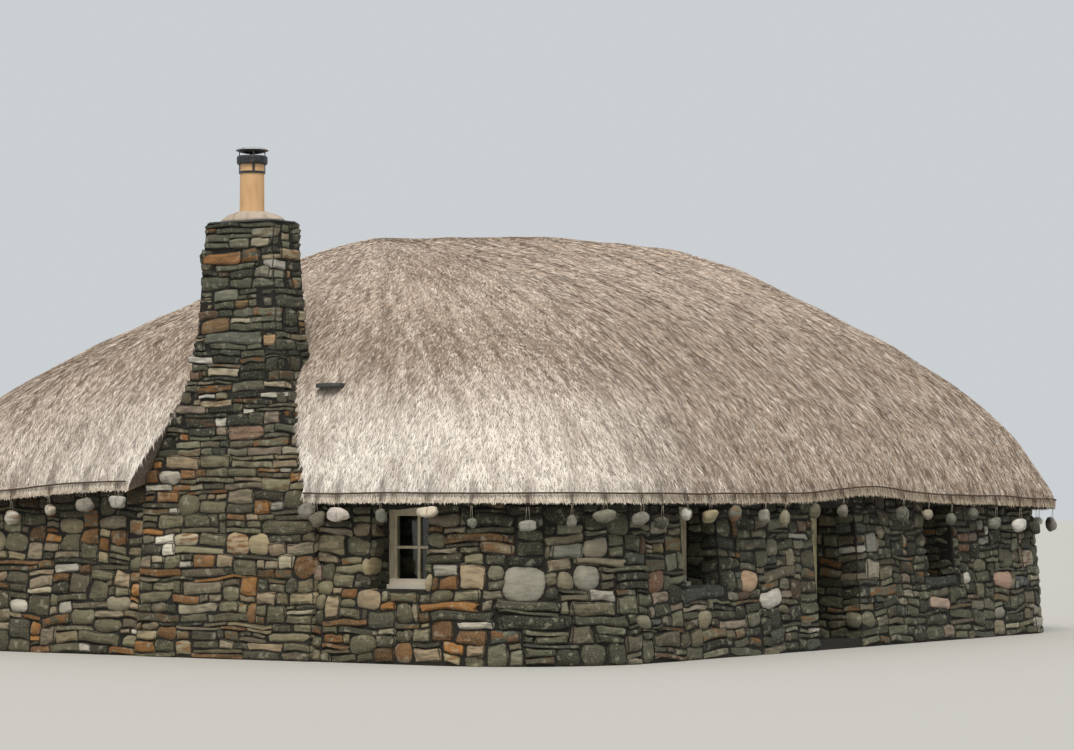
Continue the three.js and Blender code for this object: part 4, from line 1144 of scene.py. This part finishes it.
def thatch_shell():
    """Inner face, flat underside, soffit and outer slope of the thatch, from ridge to ridge."""
    base = WALL_TOP + SEAT
    inset = OVERHANG + WALL_THICKNESS + INSIDE_ROOM
    room = [half - inset for half in EAVE_HALF]
    rings = [
        ring_to_ridge(room, EAVE_CORNER - inset, RIDGE_INSIDE_HALF, run, base + rise * ROOF_INSIDE_RISE)
        for run, rise in reversed(ROOF_INSIDE_PROFILE)
    ]
    reach = OVERHANG - EDGE_LIP
    rings.append(roof_ring(EAVE_HALF[0] - reach, EAVE_HALF[1] - reach, EAVE_CORNER - reach, base))
    edge = roof_ring(*EAVE_HALF, EAVE_CORNER, 0)
    lift = eave_lift(edge[:, 0], edge[:, 1])
    for run, rise in zip(*profile_samples(SLOPE_RINGS)):
        ring = ring_to_ridge(EAVE_HALF, EAVE_CORNER, RIDGE_HALF, run, EAVE_HEIGHT + rise * ROOF_RISE)
        ring[:, 2] += max(0, 1 - rise / LIFT_FADES) * lift
        ring[:, 2] += eased((rise - DIP_FROM) / DIP_OVER) * swell(RIDGE_DIP, ring[:, 0], ring[:, 1])
        rings.append(ring)
    mesh = mesh_of("thatch", np.concatenate(rings), skin_faces(len(rings), len(stations)))
    shape = bmesh.new()
    shape.from_mesh(mesh)
    bmesh.ops.remove_doubles(shape, verts=shape.verts, dist=MERGED_WITHIN)
    bmesh.ops.recalc_face_normals(shape, faces=shape.faces)
    shape.to_mesh(mesh)
    shape.free()
    return mesh


def outward_of(x, y):
    """Unit direction in plan from the ridge line out to a point."""
    out = np.stack([x - np.clip(x, -RIDGE_HALF, RIDGE_HALF), y], axis=1)
    return out / np.maximum(np.linalg.norm(out, axis=1, keepdims=True), HAIR)


def roughen_thatch(mesh):
    """Sinks and swells the outer skin as settled thatch does."""
    for vertex in mesh.vertices:
        x, y, z = vertex.co
        normal = vertex.normal
        underside = normal.z < 0 or normal.z < UNDERSIDE_TILT and z < UNDERSIDE_TOP
        if z < EAVE_HEIGHT + CALM_EDGE or underside:
            continue
        inward = normal.x * (x - max(-RIDGE_HALF, min(RIDGE_HALF, x))) + normal.y * y < 0
        if inward and normal.z < INNER_TILT:
            continue
        broad = noise.noise(Vector((x, y, z)) * BROAD_SCALE) * BROAD_DEPTH
        small = noise.noise(Vector((x, y, z)) * SMALL_SCALE + Vector((9, 4, 2))) * SMALL_DEPTH
        vertex.co += normal * (broad + small) * min(1, (z - EAVE_HEIGHT) / FULL_AT)


def chimney_cutter():
    """The notch in the thatch that follows the outline of the chimney with a little room."""
    outline = [level[:2] for level in CHIMNEY_LEVELS[2:]]
    outer = -EAVE_HALF[0] - CUTTER_OUT
    foot = [(CUTTER_FOOT, BREAST_HALF), (WALL_TOP + CUTTER_SEAT, BREAST_HALF)]
    loops = []
    for z, half in [*foot, *outline, (CUTTER_HEAD, outline[-1][1])]:
        near, far = CHIMNEY_Y - half - NOTCH_CLEARANCE, CHIMNEY_Y + half + NOTCH_CLEARANCE
        loops.append([(outer, near, z), (NOTCH_BACK, near, z), (NOTCH_BACK, far, z), (outer, far, z)])
    return link("chimney_cutter", loft_mesh("chimney_cutter", loops))


def cut_thatch():
    """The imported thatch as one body, with the notch for the chimney."""
    mesh = thatch_shell()
    roughen_thatch(mesh)
    body = link("thatch", mesh, thatch_packed)
    cutter = chimney_cutter()
    modifier = body.modifiers.new("chimney notch", "BOOLEAN")
    modifier.operation = "DIFFERENCE"
    modifier.object = cutter
    modifier.solver = "EXACT"
    body = baked(body, "thatch")
    bpy.data.objects.remove(cutter)
    body.data.shade_smooth()
    body.data.set_sharp_from_angle(angle=math.radians(40))
    return body


def mark_growth(mesh):
    """Stores where stems grow, which side a face is on, the room to the edge and the way round the roof."""
    x, y, z = np.array([face.center for face in mesh.polygons]).T
    normal_x, normal_y, normal_z = np.array([face.normal for face in mesh.polygons]).T
    out_x, out_y = outward_of(x, y).T
    outward = normal_x * out_x + normal_y * out_y
    grows = ((outward > LOOKS_OUT) | (normal_z > LOOKS_UP)) & (z > EAVE_HEIGHT - GROWS_BELOW)
    heights, halves, *_ = zip(*CHIMNEY_LEVELS)
    gap = np.abs(y - CHIMNEY_Y) - np.interp(z, heights, halves)
    notch_wall = (np.abs(normal_y) > NOTCH_SQUARE) & (np.abs(gap) < NOTCH_NEAR) & (x < NOTCH_X)
    at_back = np.abs(x - NOTCH_BACK) < BACK_NEAR
    notch_back = (normal_x < -NOTCH_SQUARE) & (gap < NOTCH_NEAR) & at_back
    grows &= ~(notch_wall | notch_back)
    on_end = np.abs(out_x) > np.abs(out_y) * END_SLOPE_FROM
    side = np.where(on_end, np.where(out_x > 0, 1, 3), np.where(out_y > 0, 2, 0))
    x, y, z = np.array([vertex.co for vertex in mesh.vertices]).T
    room = z - EAVE_HEIGHT - eave_lift(x, y)
    out_x, out_y = outward_of(x, y).T
    turned = AROUND_PER_TURN * np.arctan2(out_x, -out_y)
    around = np.clip(x, -RIDGE_HALF, RIDGE_HALF) * -np.sign(y) + turned
    for label, kind, domain, values in (
        ("grows", "FLOAT", "FACE", grows), ("side", "INT", "FACE", side),
        ("room", "FLOAT", "POINT", room), ("around", "FLOAT", "POINT", around),
    ):
        number_kind = np.int32 if kind == "INT" else np.float32
        mesh.attributes.new(label, kind, domain).data.foreach_set("value", values.astype(number_kind))


# Shortest stem, and the height and side of the three-sided circle that stems are made from
LEAST_STEM = 0.03
TRIANGLE_HEIGHT, TRIANGLE_SIDE = 1.5, 1.732


def stem_tree():
    """Lays loose stems down the slope on one side of the roof, with a ragged fringe at the edge.

    A stem is 13 mm wide, several times a real one, so that single stems show."""
    sockets = [
        ("Side", "Int", 0), ("Stems per square metre", "Float", 2250.0), ("Length", "Float", 0.105),
        ("Width", "Float", 0.013), ("Lift", "Float", 0.09), ("Spread", "Float", 0.45),
        ("Fringe", "Float", 0.035), ("Scallop", "Float", 0.12), ("Seed", "Int", 1),
        ("Grooves", "Object", None), ("Material", "Material", None),
    ]
    tree, given = new_tree("thatch stems", sockets)
    side, grows, room, around = (
        add(tree, "GeometryNodeInputNamedAttribute", {"Name": name}, data_type=kind)
        for name, kind in (("side", "INT"), ("grows", "FLOAT"), ("room", "FLOAT"), ("around", "FLOAT"))
    )
    spans = ((0.1, 1.7), (-0.5, 0.5), (-1.0, 1.0), (-0.6, 1.0), (0.6, 1.4), (0.6, 1.4), (0.0, 1.0))
    chances = []
    for number, (low, high) in enumerate(spans, 1):
        own_seed = add(tree, "FunctionNodeIntegerMath", {0: given["Seed"], 1: number}, operation="ADD")
        span = {2: low, 3: high, "Seed": own_seed}
        chances.append(add(tree, "FunctionNodeRandomValue", span, data_type="FLOAT"))
    rise, nod, swing, fray, long, broad, tone = chances
    varied = {"Lift": rise, "Spread": swing, "Fringe": fray, "Length": long, "Width": broad}
    lift, turn, fringe, length, width = (
        add(tree, "ShaderNodeMath", {0: given[name], 1: chance}, operation="MULTIPLY")
        for name, chance in varied.items()
    )

    # Where stems grow, and the way that each lies down the slope
    same = {2: side, 3: given["Side"]}
    density = add(tree, "FunctionNodeCompare", same, data_type="INT", operation="EQUAL")
    for factor in (grows, given["Stems per square metre"]):
        density = add(tree, "ShaderNodeMath", {0: density, 1: factor}, operation="MULTIPLY")
    spread = {"Mesh": given["Geometry"], "Density": density, "Seed": given["Seed"]}
    roots = add(tree, "GeometryNodeDistributePointsOnFaces", spread, distribute_method="RANDOM")
    kept = add(tree, "GeometryNodeCaptureAttribute", {"Geometry": roots}, domain="POINT").node
    kept.capture_items.new("VECTOR", "Slope")
    tree.links.new(roots.node.outputs["Normal"], kept.inputs["Slope"])
    slope = kept.outputs["Slope"]
    steepness = add(tree, "ShaderNodeVectorMath", {0: slope, 1: (0, 0, -1)}, operation="DOT_PRODUCT")
    across = add(tree, "ShaderNodeVectorMath", {0: slope, "Scale": steepness}, operation="SCALE")
    fall = add(tree, "ShaderNodeVectorMath", {0: (0, 0, -1), 1: across}, operation="SUBTRACT")
    lying = add(tree, "FunctionNodeAxesToRotation", {0: slope, 1: fall}, primary_axis="Z", secondary_axis="Y")
    wobble = add(tree, "ShaderNodeCombineXYZ", {0: lift, 1: nod, 2: turn})
    turned = add(tree, "FunctionNodeRotateRotation", {0: lying, 1: wobble}, rotation_space="LOCAL")

    # One stem: a triangle of one metre by one metre, from its root to its tip, scaled on each point
    place = add(tree, "GeometryNodeInputPosition")
    disc = add(tree, "GeometryNodeMeshCircle", {"Vertices": 3, "Radius": 1.0}, fill_type="NGON")
    x, y, z = add(tree, "ShaderNodeSeparateXYZ", {0: place}).node.outputs
    past = add(tree, "ShaderNodeMath", {0: x, 1: TRIANGLE_HEIGHT - 1}, operation="ADD")
    run = add(tree, "ShaderNodeMath", {0: past, 1: TRIANGLE_HEIGHT}, operation="DIVIDE")
    breadth = add(tree, "ShaderNodeMath", {0: y, 1: -TRIANGLE_SIDE}, operation="DIVIDE")
    outline = add(tree, "ShaderNodeCombineXYZ", {0: breadth, 1: run})
    stored = {"Geometry": disc, "Name": "along", "Value": run}
    stem = add(tree, "GeometryNodeStoreNamedAttribute", stored, data_type="FLOAT", domain="POINT")
    stem = add(tree, "GeometryNodeSetPosition", {"Geometry": stem, "Position": outline})

    # A stem stops at the scalloped edge of the thatch
    reach = add(tree, "ShaderNodeTexNoise", {"Vector": place, "Scale": per_metre(450), "Detail": 2})
    for operation, value in (
        ("SUBTRACT", 0.5), ("MULTIPLY", given["Scallop"]), ("ADD", fringe), ("ADD", room),
        ("MINIMUM", length), ("MAXIMUM", LEAST_STEM),
    ):
        reach = add(tree, "ShaderNodeMath", {0: reach, 1: value}, operation=operation)
    size = add(tree, "ShaderNodeCombineXYZ", {0: width, 1: reach, 2: 1.0})
    laid = {"Points": kept.outputs["Geometry"], "Instance": stem, "Rotation": turned, "Scale": size}
    stems = add(tree, "GeometryNodeInstanceOnPoints", laid)

    # What each stem's colour goes by: its own chance, streaks down the slope, the edge, where the fringe is
    # painted light, and the grooves, where the stems are painted shade
    down = add(tree, "ShaderNodeMath", {0: z, 1: 0.2}, operation="MULTIPLY")
    flow = add(tree, "ShaderNodeCombineXYZ", {0: around, 1: down})
    streaks, swathes = (
        add(tree, "ShaderNodeTexNoise", {"Vector": flow, "Scale": per_metre(size_mm), "Detail": detail})
        for size_mm, detail in ((58, 3), (230, 2))
    )
    # Painted shade: stems near the groove lines are darkened
    lines = add(tree, "GeometryNodeObjectInfo", {"Object": given["Grooves"]}, "Geometry")
    groove = add(tree, "GeometryNodeProximity", {"Geometry": lines}, "Distance", target_element="EDGES")
    for name, value in (
        ("strand", tone), ("streak", streaks), ("swathe", swathes), ("low", room), ("groove", groove),
    ):
        stored = {"Geometry": stems, "Name": name, "Value": value}
        stems = add(tree, "GeometryNodeStoreNamedAttribute", stored, data_type="FLOAT", domain="INSTANCE")
    real = add(tree, "GeometryNodeRealizeInstances", {0: stems})
    painted = add(tree, "GeometryNodeSetMaterial", {"Geometry": real, "Material": given["Material"]})
    tree.links.new(painted, tree.nodes.new("NodeGroupOutput").inputs[0])
    return tree


# Weighted rope: sizes, its waves and their height, how far its parts stand out from the thatch edge, and the
# reach of a twine loop as a share of its stone
ROPE_HEIGHT = 0.12
ROPE_STEP = 0.12
ROPE_WAVES, ROPE_WAVE = 0.9, 0.02
ROPE_RADIUS = 0.012
LINE_RADIUS = 0.004
TWINE_RADIUS = 0.003
ROPE_OUT = 0.022
HOOK_OUT = 0.026
WEIGHT_OUT = 0.011
SHOULDER_OUT = 0.02
BEND_OUT = 0.012
LOOP_REACH = 0.53
LOOP_STEPS = 12
WEIGHT_DEPTH = 0.15
WEIGHT_SPACING = 0.65
NOTCH_MARGIN = 0.03

# Stones given one by one: distance along the thatch edge, width, height, drop of the middle, colour
FRONT_WEIGHTS = [
    (-5.2, 0.24, 0.19, 0.11, "807c73"), (-5.03, 0.21, 0.18, 0.21, "706b5c"),
    (-4.71, 0.32, 0.17, 0.15, "e2d6cb"), (-4.03, 0.12, 0.16, 0.16, "71736a"),
    (-3.33, 0.28, 0.13, 0.11, "dccfb9"), (-2.74, 0.11, 0.12, 0.24, "7d7f70"),
    (-2.06, 0.21, 0.13, 0.28, "9a998c"), (-1.52, 0.12, 0.15, 0.22, "7a7a6c"),
    (-1.08, 0.27, 0.15, 0.16, "7b7a69"), (-0.52, 0.26, 0.14, 0.19, "827f74"),
    (-0.14, 0.21, 0.15, 0.25, "47463b"), (0.46, 0.12, 0.15, 0.14, "c4c4b8"),
    (1.03, 0.28, 0.15, 0.17, "a09474"), (1.66, 0.22, 0.19, 0.13, "6e6f62"),
    (2.44, 0.1, 0.16, 0.17, "959486"), (2.97, 0.13, 0.2, 0.2, "98917a"), (3.8, 0.13, 0.19, 0.13, "64604f"),
    (4.59, 0.13, 0.15, 0.18, "7c786c"), (6.37, 0.23, 0.21, 0.22, "5b5a50"),
    (7.15, 0.13, 0.14, 0.18, "a59c8a"), (7.88, 0.13, 0.16, 0.23, "6a6c61"),
    (8.61, 0.13, 0.16, 0.15, "63625a"), (9.35, 0.27, 0.16, 0.28, "7f7f74"),
    (10.18, 0.32, 0.2, 0.3, "dedbd3"), (10.73, 0.25, 0.18, 0.33, "33332b"),
    (12.49, 0.3, 0.21, 0.24, "8b8580"),
]
CHIMNEY_END_WEIGHTS = [
    (-10.16, 0.21, 0.17, 0.26, "b8b3a6"), (-9.49, 0.16, 0.13, 0.2, "bab09e"),
    (-8.87, 0.25, 0.18, 0.17, "8e877c"), (-8.31, 0.25, 0.16, 0.15, "b3b0a6"),
]
PEBBLE_LUMPS = ((1.9, 0.34), (5, 0.07))
PEBBLE_TILT = 0.22
PEBBLE_TINTS = ["8f8d80", "74746a", "b3ab99", "5f5f57", "a0917f", "cbc6ba"]


def edge_place(distance):
    """Point of the thatch edge and its outward normal at a distance along it."""
    point, normal = eave.point(distance)
    point.z = EAVE_HEIGHT + float(eave_lift(point.x, point.y))
    return point, normal


def random_from(seed):
    """Small repeatable pseudo-random numbers between 0 and 1, the same as in the part's source."""
    state = seed
    while True:
        state = state * 16807 % 2147483647
        yield state / 2147483647


def even_weights(start, end, seed):
    """Stones at even steps along a stretch of the edge."""
    chance = random_from(seed)
    count = int((end - start) / WEIGHT_SPACING)
    rows = []
    for i in range(count):
        size = [least + more * next(chance) for least, more in ((0.18, 0.1), (0.11, 0.06), (0.15, 0.08))]
        rows.append((start + (i + 0.5) * (end - start) / count, *size, PEBBLE_TINTS[(i * 5 + seed) % 6]))
    return rows


right_start, back_start, left_start, _ = eave.corner_middles
notch_far = eave.distance("left", CHIMNEY_Y + BREAST_HALF + NOTCH_MARGIN)
notch_near = eave.distance("left", CHIMNEY_Y - BREAST_HALF - NOTCH_MARGIN)
left_end = eave.around + CHIMNEY_END_WEIGHTS[0][0] - WEIGHT_SPACING / 2
ROPES = {
    "front": (notch_near, eave.around + right_start, FRONT_WEIGHTS),
    "right": (right_start, back_start, even_weights(right_start, back_start, 23)),
    "back": (back_start, left_start, even_weights(back_start, left_start, 37)),
    "left": (left_start, notch_far, even_weights(left_start, left_end, 41) + CHIMNEY_END_WEIGHTS),
}


def tube(shape, points, radius, sides=4, finish=0):
    """Adds a closed round tube along a row of points, in the piece's first or second finish."""
    rings = []
    for number, point in enumerate(points):
        ahead = points[min(number + 1, len(points) - 1)] - points[max(number - 1, 0)]
        level = abs(ahead.normalized().z) < 0.9
        side = ahead.cross(Vector((0.03, 0.02, 1) if level else (1, 0.05, 0))).normalized()
        other = ahead.cross(side).normalized()
        turns = [i * 2 * math.pi / sides for i in range(sides)]
        around = [(side * math.cos(turn) + other * math.sin(turn)) * radius for turn in turns]
        rings.append([shape.verts.new(point + offset) for offset in around])
    faces = [shape.faces.new(list(reversed(rings[0]))), shape.faces.new(rings[-1])]
    for low, high in zip(rings, rings[1:]):
        for i in range(sides):
            faces.append(shape.faces.new((low[i], low[(i + 1) % sides], high[(i + 1) % sides], high[i])))
    for face in faces:
        face.material_index = finish


def rope_points(start, end):
    """The rope's run round the edge, with a slight rise and fall."""
    steps = int((end - start) / ROPE_STEP)
    points = []
    for i in range(steps + 1):
        distance = start + (end - start) * i / steps
        point, normal = edge_place(distance)
        wave = noise.noise(Vector((distance * ROPE_WAVES, 3, 7))) * ROPE_WAVE
        points.append(point + normal * ROPE_OUT + UP * (ROPE_HEIGHT + wave))
    return points


def hanging_pebble(shape, rng, place, normal, width, height):
    """Adds one sea-worn stone, a little out of true, hung in a twine loop."""
    made = bmesh.ops.create_icosphere(shape, subdivisions=3, radius=0.5)["verts"]
    shift = Vector([rng.uniform(0, 50) for _ in range(3)])
    power = rng.uniform(0.7, 1.0)
    tilt = rng.uniform(-PEBBLE_TILT, PEBBLE_TILT)
    for vertex in made:
        p = Vector([math.copysign(abs(c * 2) ** power, c) for c in vertex.co]) * 0.5
        p *= 1 + sum(depth * noise.noise(p * scale + shift) for scale, depth in PEBBLE_LUMPS)
        across, up = p.y * width, p.z * height
        level = across * math.cos(tilt) - up * math.sin(tilt)
        rise = across * math.sin(tilt) + up * math.cos(tilt)
        vertex.co = place + normal * p.x * WEIGHT_DEPTH + sideways(normal) * level + UP * rise
    return made


def make_rope(name, start, end, weights, rng):
    """The rope with its short lines, and the stones that hang on them, as two pieces."""
    rope, stones = bmesh.new(), bmesh.new()
    tube(rope, rope_points(start + 0.001, end - 0.001), ROPE_RADIUS, 6)
    tint_layer = stones.verts.layers.float_color.new("tint")
    seed_layer = stones.verts.layers.float.new("seed")
    for distance, width, height, drop, code in weights:
        edge, normal = edge_place(distance)
        along = sideways(normal)
        hook = edge + normal * HOOK_OUT + UP * ROPE_HEIGHT
        middle = edge + normal * WEIGHT_OUT - UP * drop
        for hand in (-1, 1):
            shoulder = middle + along * hand * width * 0.12 + UP * height * 0.47 + normal * SHOULDER_OUT
            bend = (hook + shoulder) / 2 + normal * BEND_OUT
            tube(rope, [hook + along * hand * 0.01, bend], LINE_RADIUS)
            tube(rope, [bend, shoulder], TWINE_RADIUS, finish=1)
        loop = []
        for turn in (i * 2 * math.pi / LOOP_STEPS for i in range(LOOP_STEPS + 1)):
            out = normal * math.sin(turn) * WEIGHT_DEPTH + UP * math.cos(turn) * height
            loop.append(middle + out * LOOP_REACH + along * width * 0.1)
        tube(rope, loop, LINE_RADIUS, finish=1)
        made = hanging_pebble(stones, rng, middle, normal, width, height)
        seed = rng.uniform(0, 40)
        for vertex in made:
            vertex[tint_layer] = srgb(code)
            vertex[seed_layer] = seed
    pieces = []
    for shape, label, material in ((rope, "rope", tarred_rope), (stones, "hanging_stones", pebble_stone)):
        piece = link(name + "_" + label, mesh_from(shape, name + "_" + label), material)
        piece.data.shade_smooth()
        pieces.append(piece)
    pieces[0].data.materials.append(grey_twine)
    return pieces


def groove_lines():
    """Lines up the thatch from the rope at each hanging stone, where its line presses a groove that is only
    painted, as shade on the stems near it.
    """
    points, lines = [], []
    for distance, *_ in (weight for rope in ROPES.values() for weight in rope[2]):
        edge, normal = edge_place(distance)
        lines += [(len(points), len(points) + 1), (len(points) + 1, len(points) + 2)]
        points += [edge - normal * back + UP * up for up, back in ((0.1, 0.0), (0.22, 0.02), (0.34, 0.06))]
    return link("grooves", mesh_of("grooves", points, [], lines))


# Stems per square metre and fringe of each side
STEM_SIDES = {
    "front": (2250.0, 0.035),
    "right": (1700.0, 0.03),
    "back": (1700.0, 0.03),
    "left": (2250.0, 0.005),
}

thatch = cut_thatch()
mark_growth(thatch.data)
thatch_stems_tree = stem_tree()
grooves = groove_lines()
for number, (side, (density, fringe)) in enumerate(STEM_SIDES.items()):
    stems = run_tree(
        link("stems", thatch.data.copy()), thatch_stems_tree, side + "_thatch_stems", Material=thatch_stems,
        Side=number, Seed=50 + number, Stems_per_square_metre=density, Fringe=fringe, Grooves=grooves,
    )
    finish_piece(stems)
bpy.data.objects.remove(grooves)
finish_piece(thatch, ["thatch_roof"])

rope_rng = random.Random(3)
for side, (start, end, weights) in ROPES.items():
    for piece in make_rope(side, start, end, weights, rope_rng):
        finish_piece(piece, [side + "_weighted_rope"])


# Windows: jointed timber frame with a two by two sash, drawn facing -Y at the origin
WORN_EDGE = 0.004
FRAME_DEPTH = 0.11
FRAME_FACE = 0.07
FRAME_FOOT = 0.095
RAIL_BACK = 0.004
SASH_FACE = 0.042
SILL_OUT = 0.08
SILL_DEPTH = 0.058
BAR_HALF = 0.02
CROSS_BAR_HALF = 0.018


def window_boxes():
    """Posts, head, foot, sill, then the bars and the sash on both faces of the glass."""
    half = WINDOW_WIDTH / 2 - SEAT
    top = LINTEL_BOTTOM - SILL_HEIGHT - 2 * SEAT
    left, right, foot, head = -half + FRAME_FACE, half - FRAME_FACE, FRAME_FOOT, top - FRAME_FACE
    pane_left, pane_right = left + SASH_FACE, right - SASH_FACE
    pane_foot, pane_head = foot + SASH_FACE * 0.8, head - SASH_FACE
    middle = (pane_foot + pane_head) / 2
    cross_foot, cross_head = middle - CROSS_BAR_HALF, middle + CROSS_BAR_HALF
    parts = [
        (-half, left, 0, top, 0, FRAME_DEPTH), (right, half, 0, top, 0, FRAME_DEPTH),
        (left, right, head, top, RAIL_BACK, FRAME_DEPTH), (left, right, 0, foot, RAIL_BACK, FRAME_DEPTH),
        (-half, half, 0, SILL_DEPTH, -SILL_OUT, 0),
    ]
    for bar, cross, sash in (
        ((0.022, 0.05), (0.025, 0.05), (0.014, 0.05)),
        ((0.06, 0.08), (0.06, 0.078), (0.06, 0.09)),
    ):
        parts += [
            (-BAR_HALF, BAR_HALF, pane_foot, pane_head, *bar),
            (pane_left, -BAR_HALF, cross_foot, cross_head, *cross),
            (BAR_HALF, pane_right, cross_foot, cross_head, *cross),
            (left, pane_left, foot, head, *sash), (pane_right, right, foot, head, *sash),
            (pane_left, pane_right, pane_head, head, *sash), (pane_left, pane_right, foot, pane_foot, *sash),
        ]
    return [((x0, y0, z0), (x1, y1, z1)) for x0, x1, z0, z1, y0, y1 in parts]


for name, (side, u, setback) in WINDOWS.items():
    face, normal = wall.point(wall.distance(side, u))
    corner = face - normal * setback
    turn = math.atan2(normal.y, normal.x) + math.pi / 2
    place = Matrix.Translation((corner.x, corner.y, SILL_HEIGHT + SEAT)) @ Matrix.Rotation(turn, 4, "Z")
    timbers = joinery(name + "_joinery", window_boxes(), window_timber, WORN_EDGE, place=place)
    finish_piece(timbers, [name + "_frame"])


# Doorway: posts and head with worn edges, and a boarded leaf on three ledges
POST_WIDTH = 0.15
HINGE_POST_WIDTH = 0.28
HEAD_HEIGHT = 0.11
BOARDS = 6
BOARD_THICKNESS = 0.025
BOARD_GAP = 0.003
LEDGE_HEIGHT = 0.12
LEDGE_INSET = 0.06

(x0, y0, z0), (x1, y1, z1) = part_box("door_frame")
door_boxes = [
    ((x0, y0, z0), (x0 + POST_WIDTH, y1, z1)),
    ((x1 - HINGE_POST_WIDTH, y0, z0), (x1, y1, z1)),
    ((x0 + POST_WIDTH, y0 + 0.006, z1 - HEAD_HEIGHT), (x1 - HINGE_POST_WIDTH, y1, z1)),
]
finish_piece(joinery("door_posts", door_boxes, door_timber, 0.008, 3), ["door_frame"])

(x0, y0, z0), (x1, y1, z1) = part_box("door_leaf")
board_width = (y1 - y0) / BOARDS
leaf_boxes = [
    ((x0, y, z0), (x0 + BOARD_THICKNESS, y + board_width - BOARD_GAP, z1))
    for y in (y0 + i * board_width for i in range(BOARDS))
]
leaf_boxes += [
    ((x0 + BOARD_THICKNESS, y0 + LEDGE_INSET, z), (x1, y1 - LEDGE_INSET, z + LEDGE_HEIGHT))
    for z in (z0 + 0.15, (z0 + z1) / 2 - LEDGE_HEIGHT / 2, z1 - 0.27)
]
finish_piece(joinery("door_boards", leaf_boxes, door_timber, 0.003), ["door_leaf"])


# Split slabs with a chipped outline
def split_plate(name, low, high, rng, corners, square):
    """A thin slab between two corners; square is how far its plan is from a rectangle, 1 being an oval."""
    middle, size = (low + high) / 2, high - low
    outline = []
    for turn in (i * 2 * math.pi / corners for i in range(corners)):
        point = [math.copysign(abs(f) ** square, f) for f in (math.cos(turn), math.sin(turn))]
        outline.append([f * 0.5 * rng.uniform(0.94, 1) for f in point])
    loops = [
        [middle + Vector((x * reach * size.x, y * reach * size.y, rise * size.z)) for x, y in outline]
        for rise, reach in ((-0.5, 0.97), (-0.25, 1.0), (0.1, 0.985), (0.5, 0.94))
    ]
    return link(name, loft_mesh(name, loops), wall_slate)


drip_low, drip_high = (Vector(corner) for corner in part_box("drip_slate"))
drip = split_plate("split_slate", drip_low, drip_high, random.Random(5), 22, 0.35)
finish_piece(drip, ["drip_slate"])

# Chimney top: a thin split slab under a trowelled mortar mound, given by its reach in X and Y and its height
DOME_LEVELS = [
    (0.278, 0.5, -0.004), (0.27, 0.47, 0.03), (0.25, 0.39, 0.078), (0.215, 0.28, 0.108), (0.186, 0.2, 0.126),
]
DOME_POINTS = 40
TOP_SLAB = 0.028
SLAB_REACH = 0.025

half, front, back = chimney_level(STACK_TOP)
slab_low = Vector((front - EAVE_HALF[0] - SLAB_REACH, CHIMNEY_Y - half - SLAB_REACH, STACK_TOP + SEAT))
slab_high = Vector((back - EAVE_HALF[0] + SLAB_REACH, CHIMNEY_Y + half + SLAB_REACH, STACK_TOP + TOP_SLAB))
slab = split_plate("chimney_top_slab", slab_low, slab_high, random.Random(9), 46, 0.14)
loops = []
for x, y, z in DOME_LEVELS:
    loop = []
    for turn in (i * 2 * math.pi / DOME_POINTS for i in range(DOME_POINTS)):
        point = Vector((x * math.cos(turn), y * math.sin(turn), z))
        swelling = 1 + 0.07 * noise.noise(point * 6) * (0.14 - z) / 0.14
        rise = STACK_TOP + TOP_SLAB + z
        loop.append(Vector((STACK_AXIS_X + point.x * swelling, CHIMNEY_Y + point.y * swelling, rise)))
    loops.append(loop)
mound = link("mortar_mound", loft_mesh("mortar_mound", loops), lime_mortar)
mound.data.shade_smooth()
for piece in (slab, mound):
    finish_piece(piece, ["chimney_flaunching"])

# Plain finishes for the frame's own pieces
finishes = {
    "rubble_stone": wall_core,
    "dark_slab_stone": wall_core,
    "window_timber": window_timber,
    "door_timber": door_timber,
    "window_glass": clear_glass,
    "mortar": lime_mortar,
    "clay_pot": buff_clay,
    "black_metal": black_steel,
    "slate": wall_slate,
    "weight_stone": pebble_stone,
    "thatch": thatch_packed,
}
for part in frame["record"]["subparts"]:
    mesh = nodes[part["node"]].data
    mesh.materials.clear()
    mesh.materials.append(finishes[part["material_slot"]])
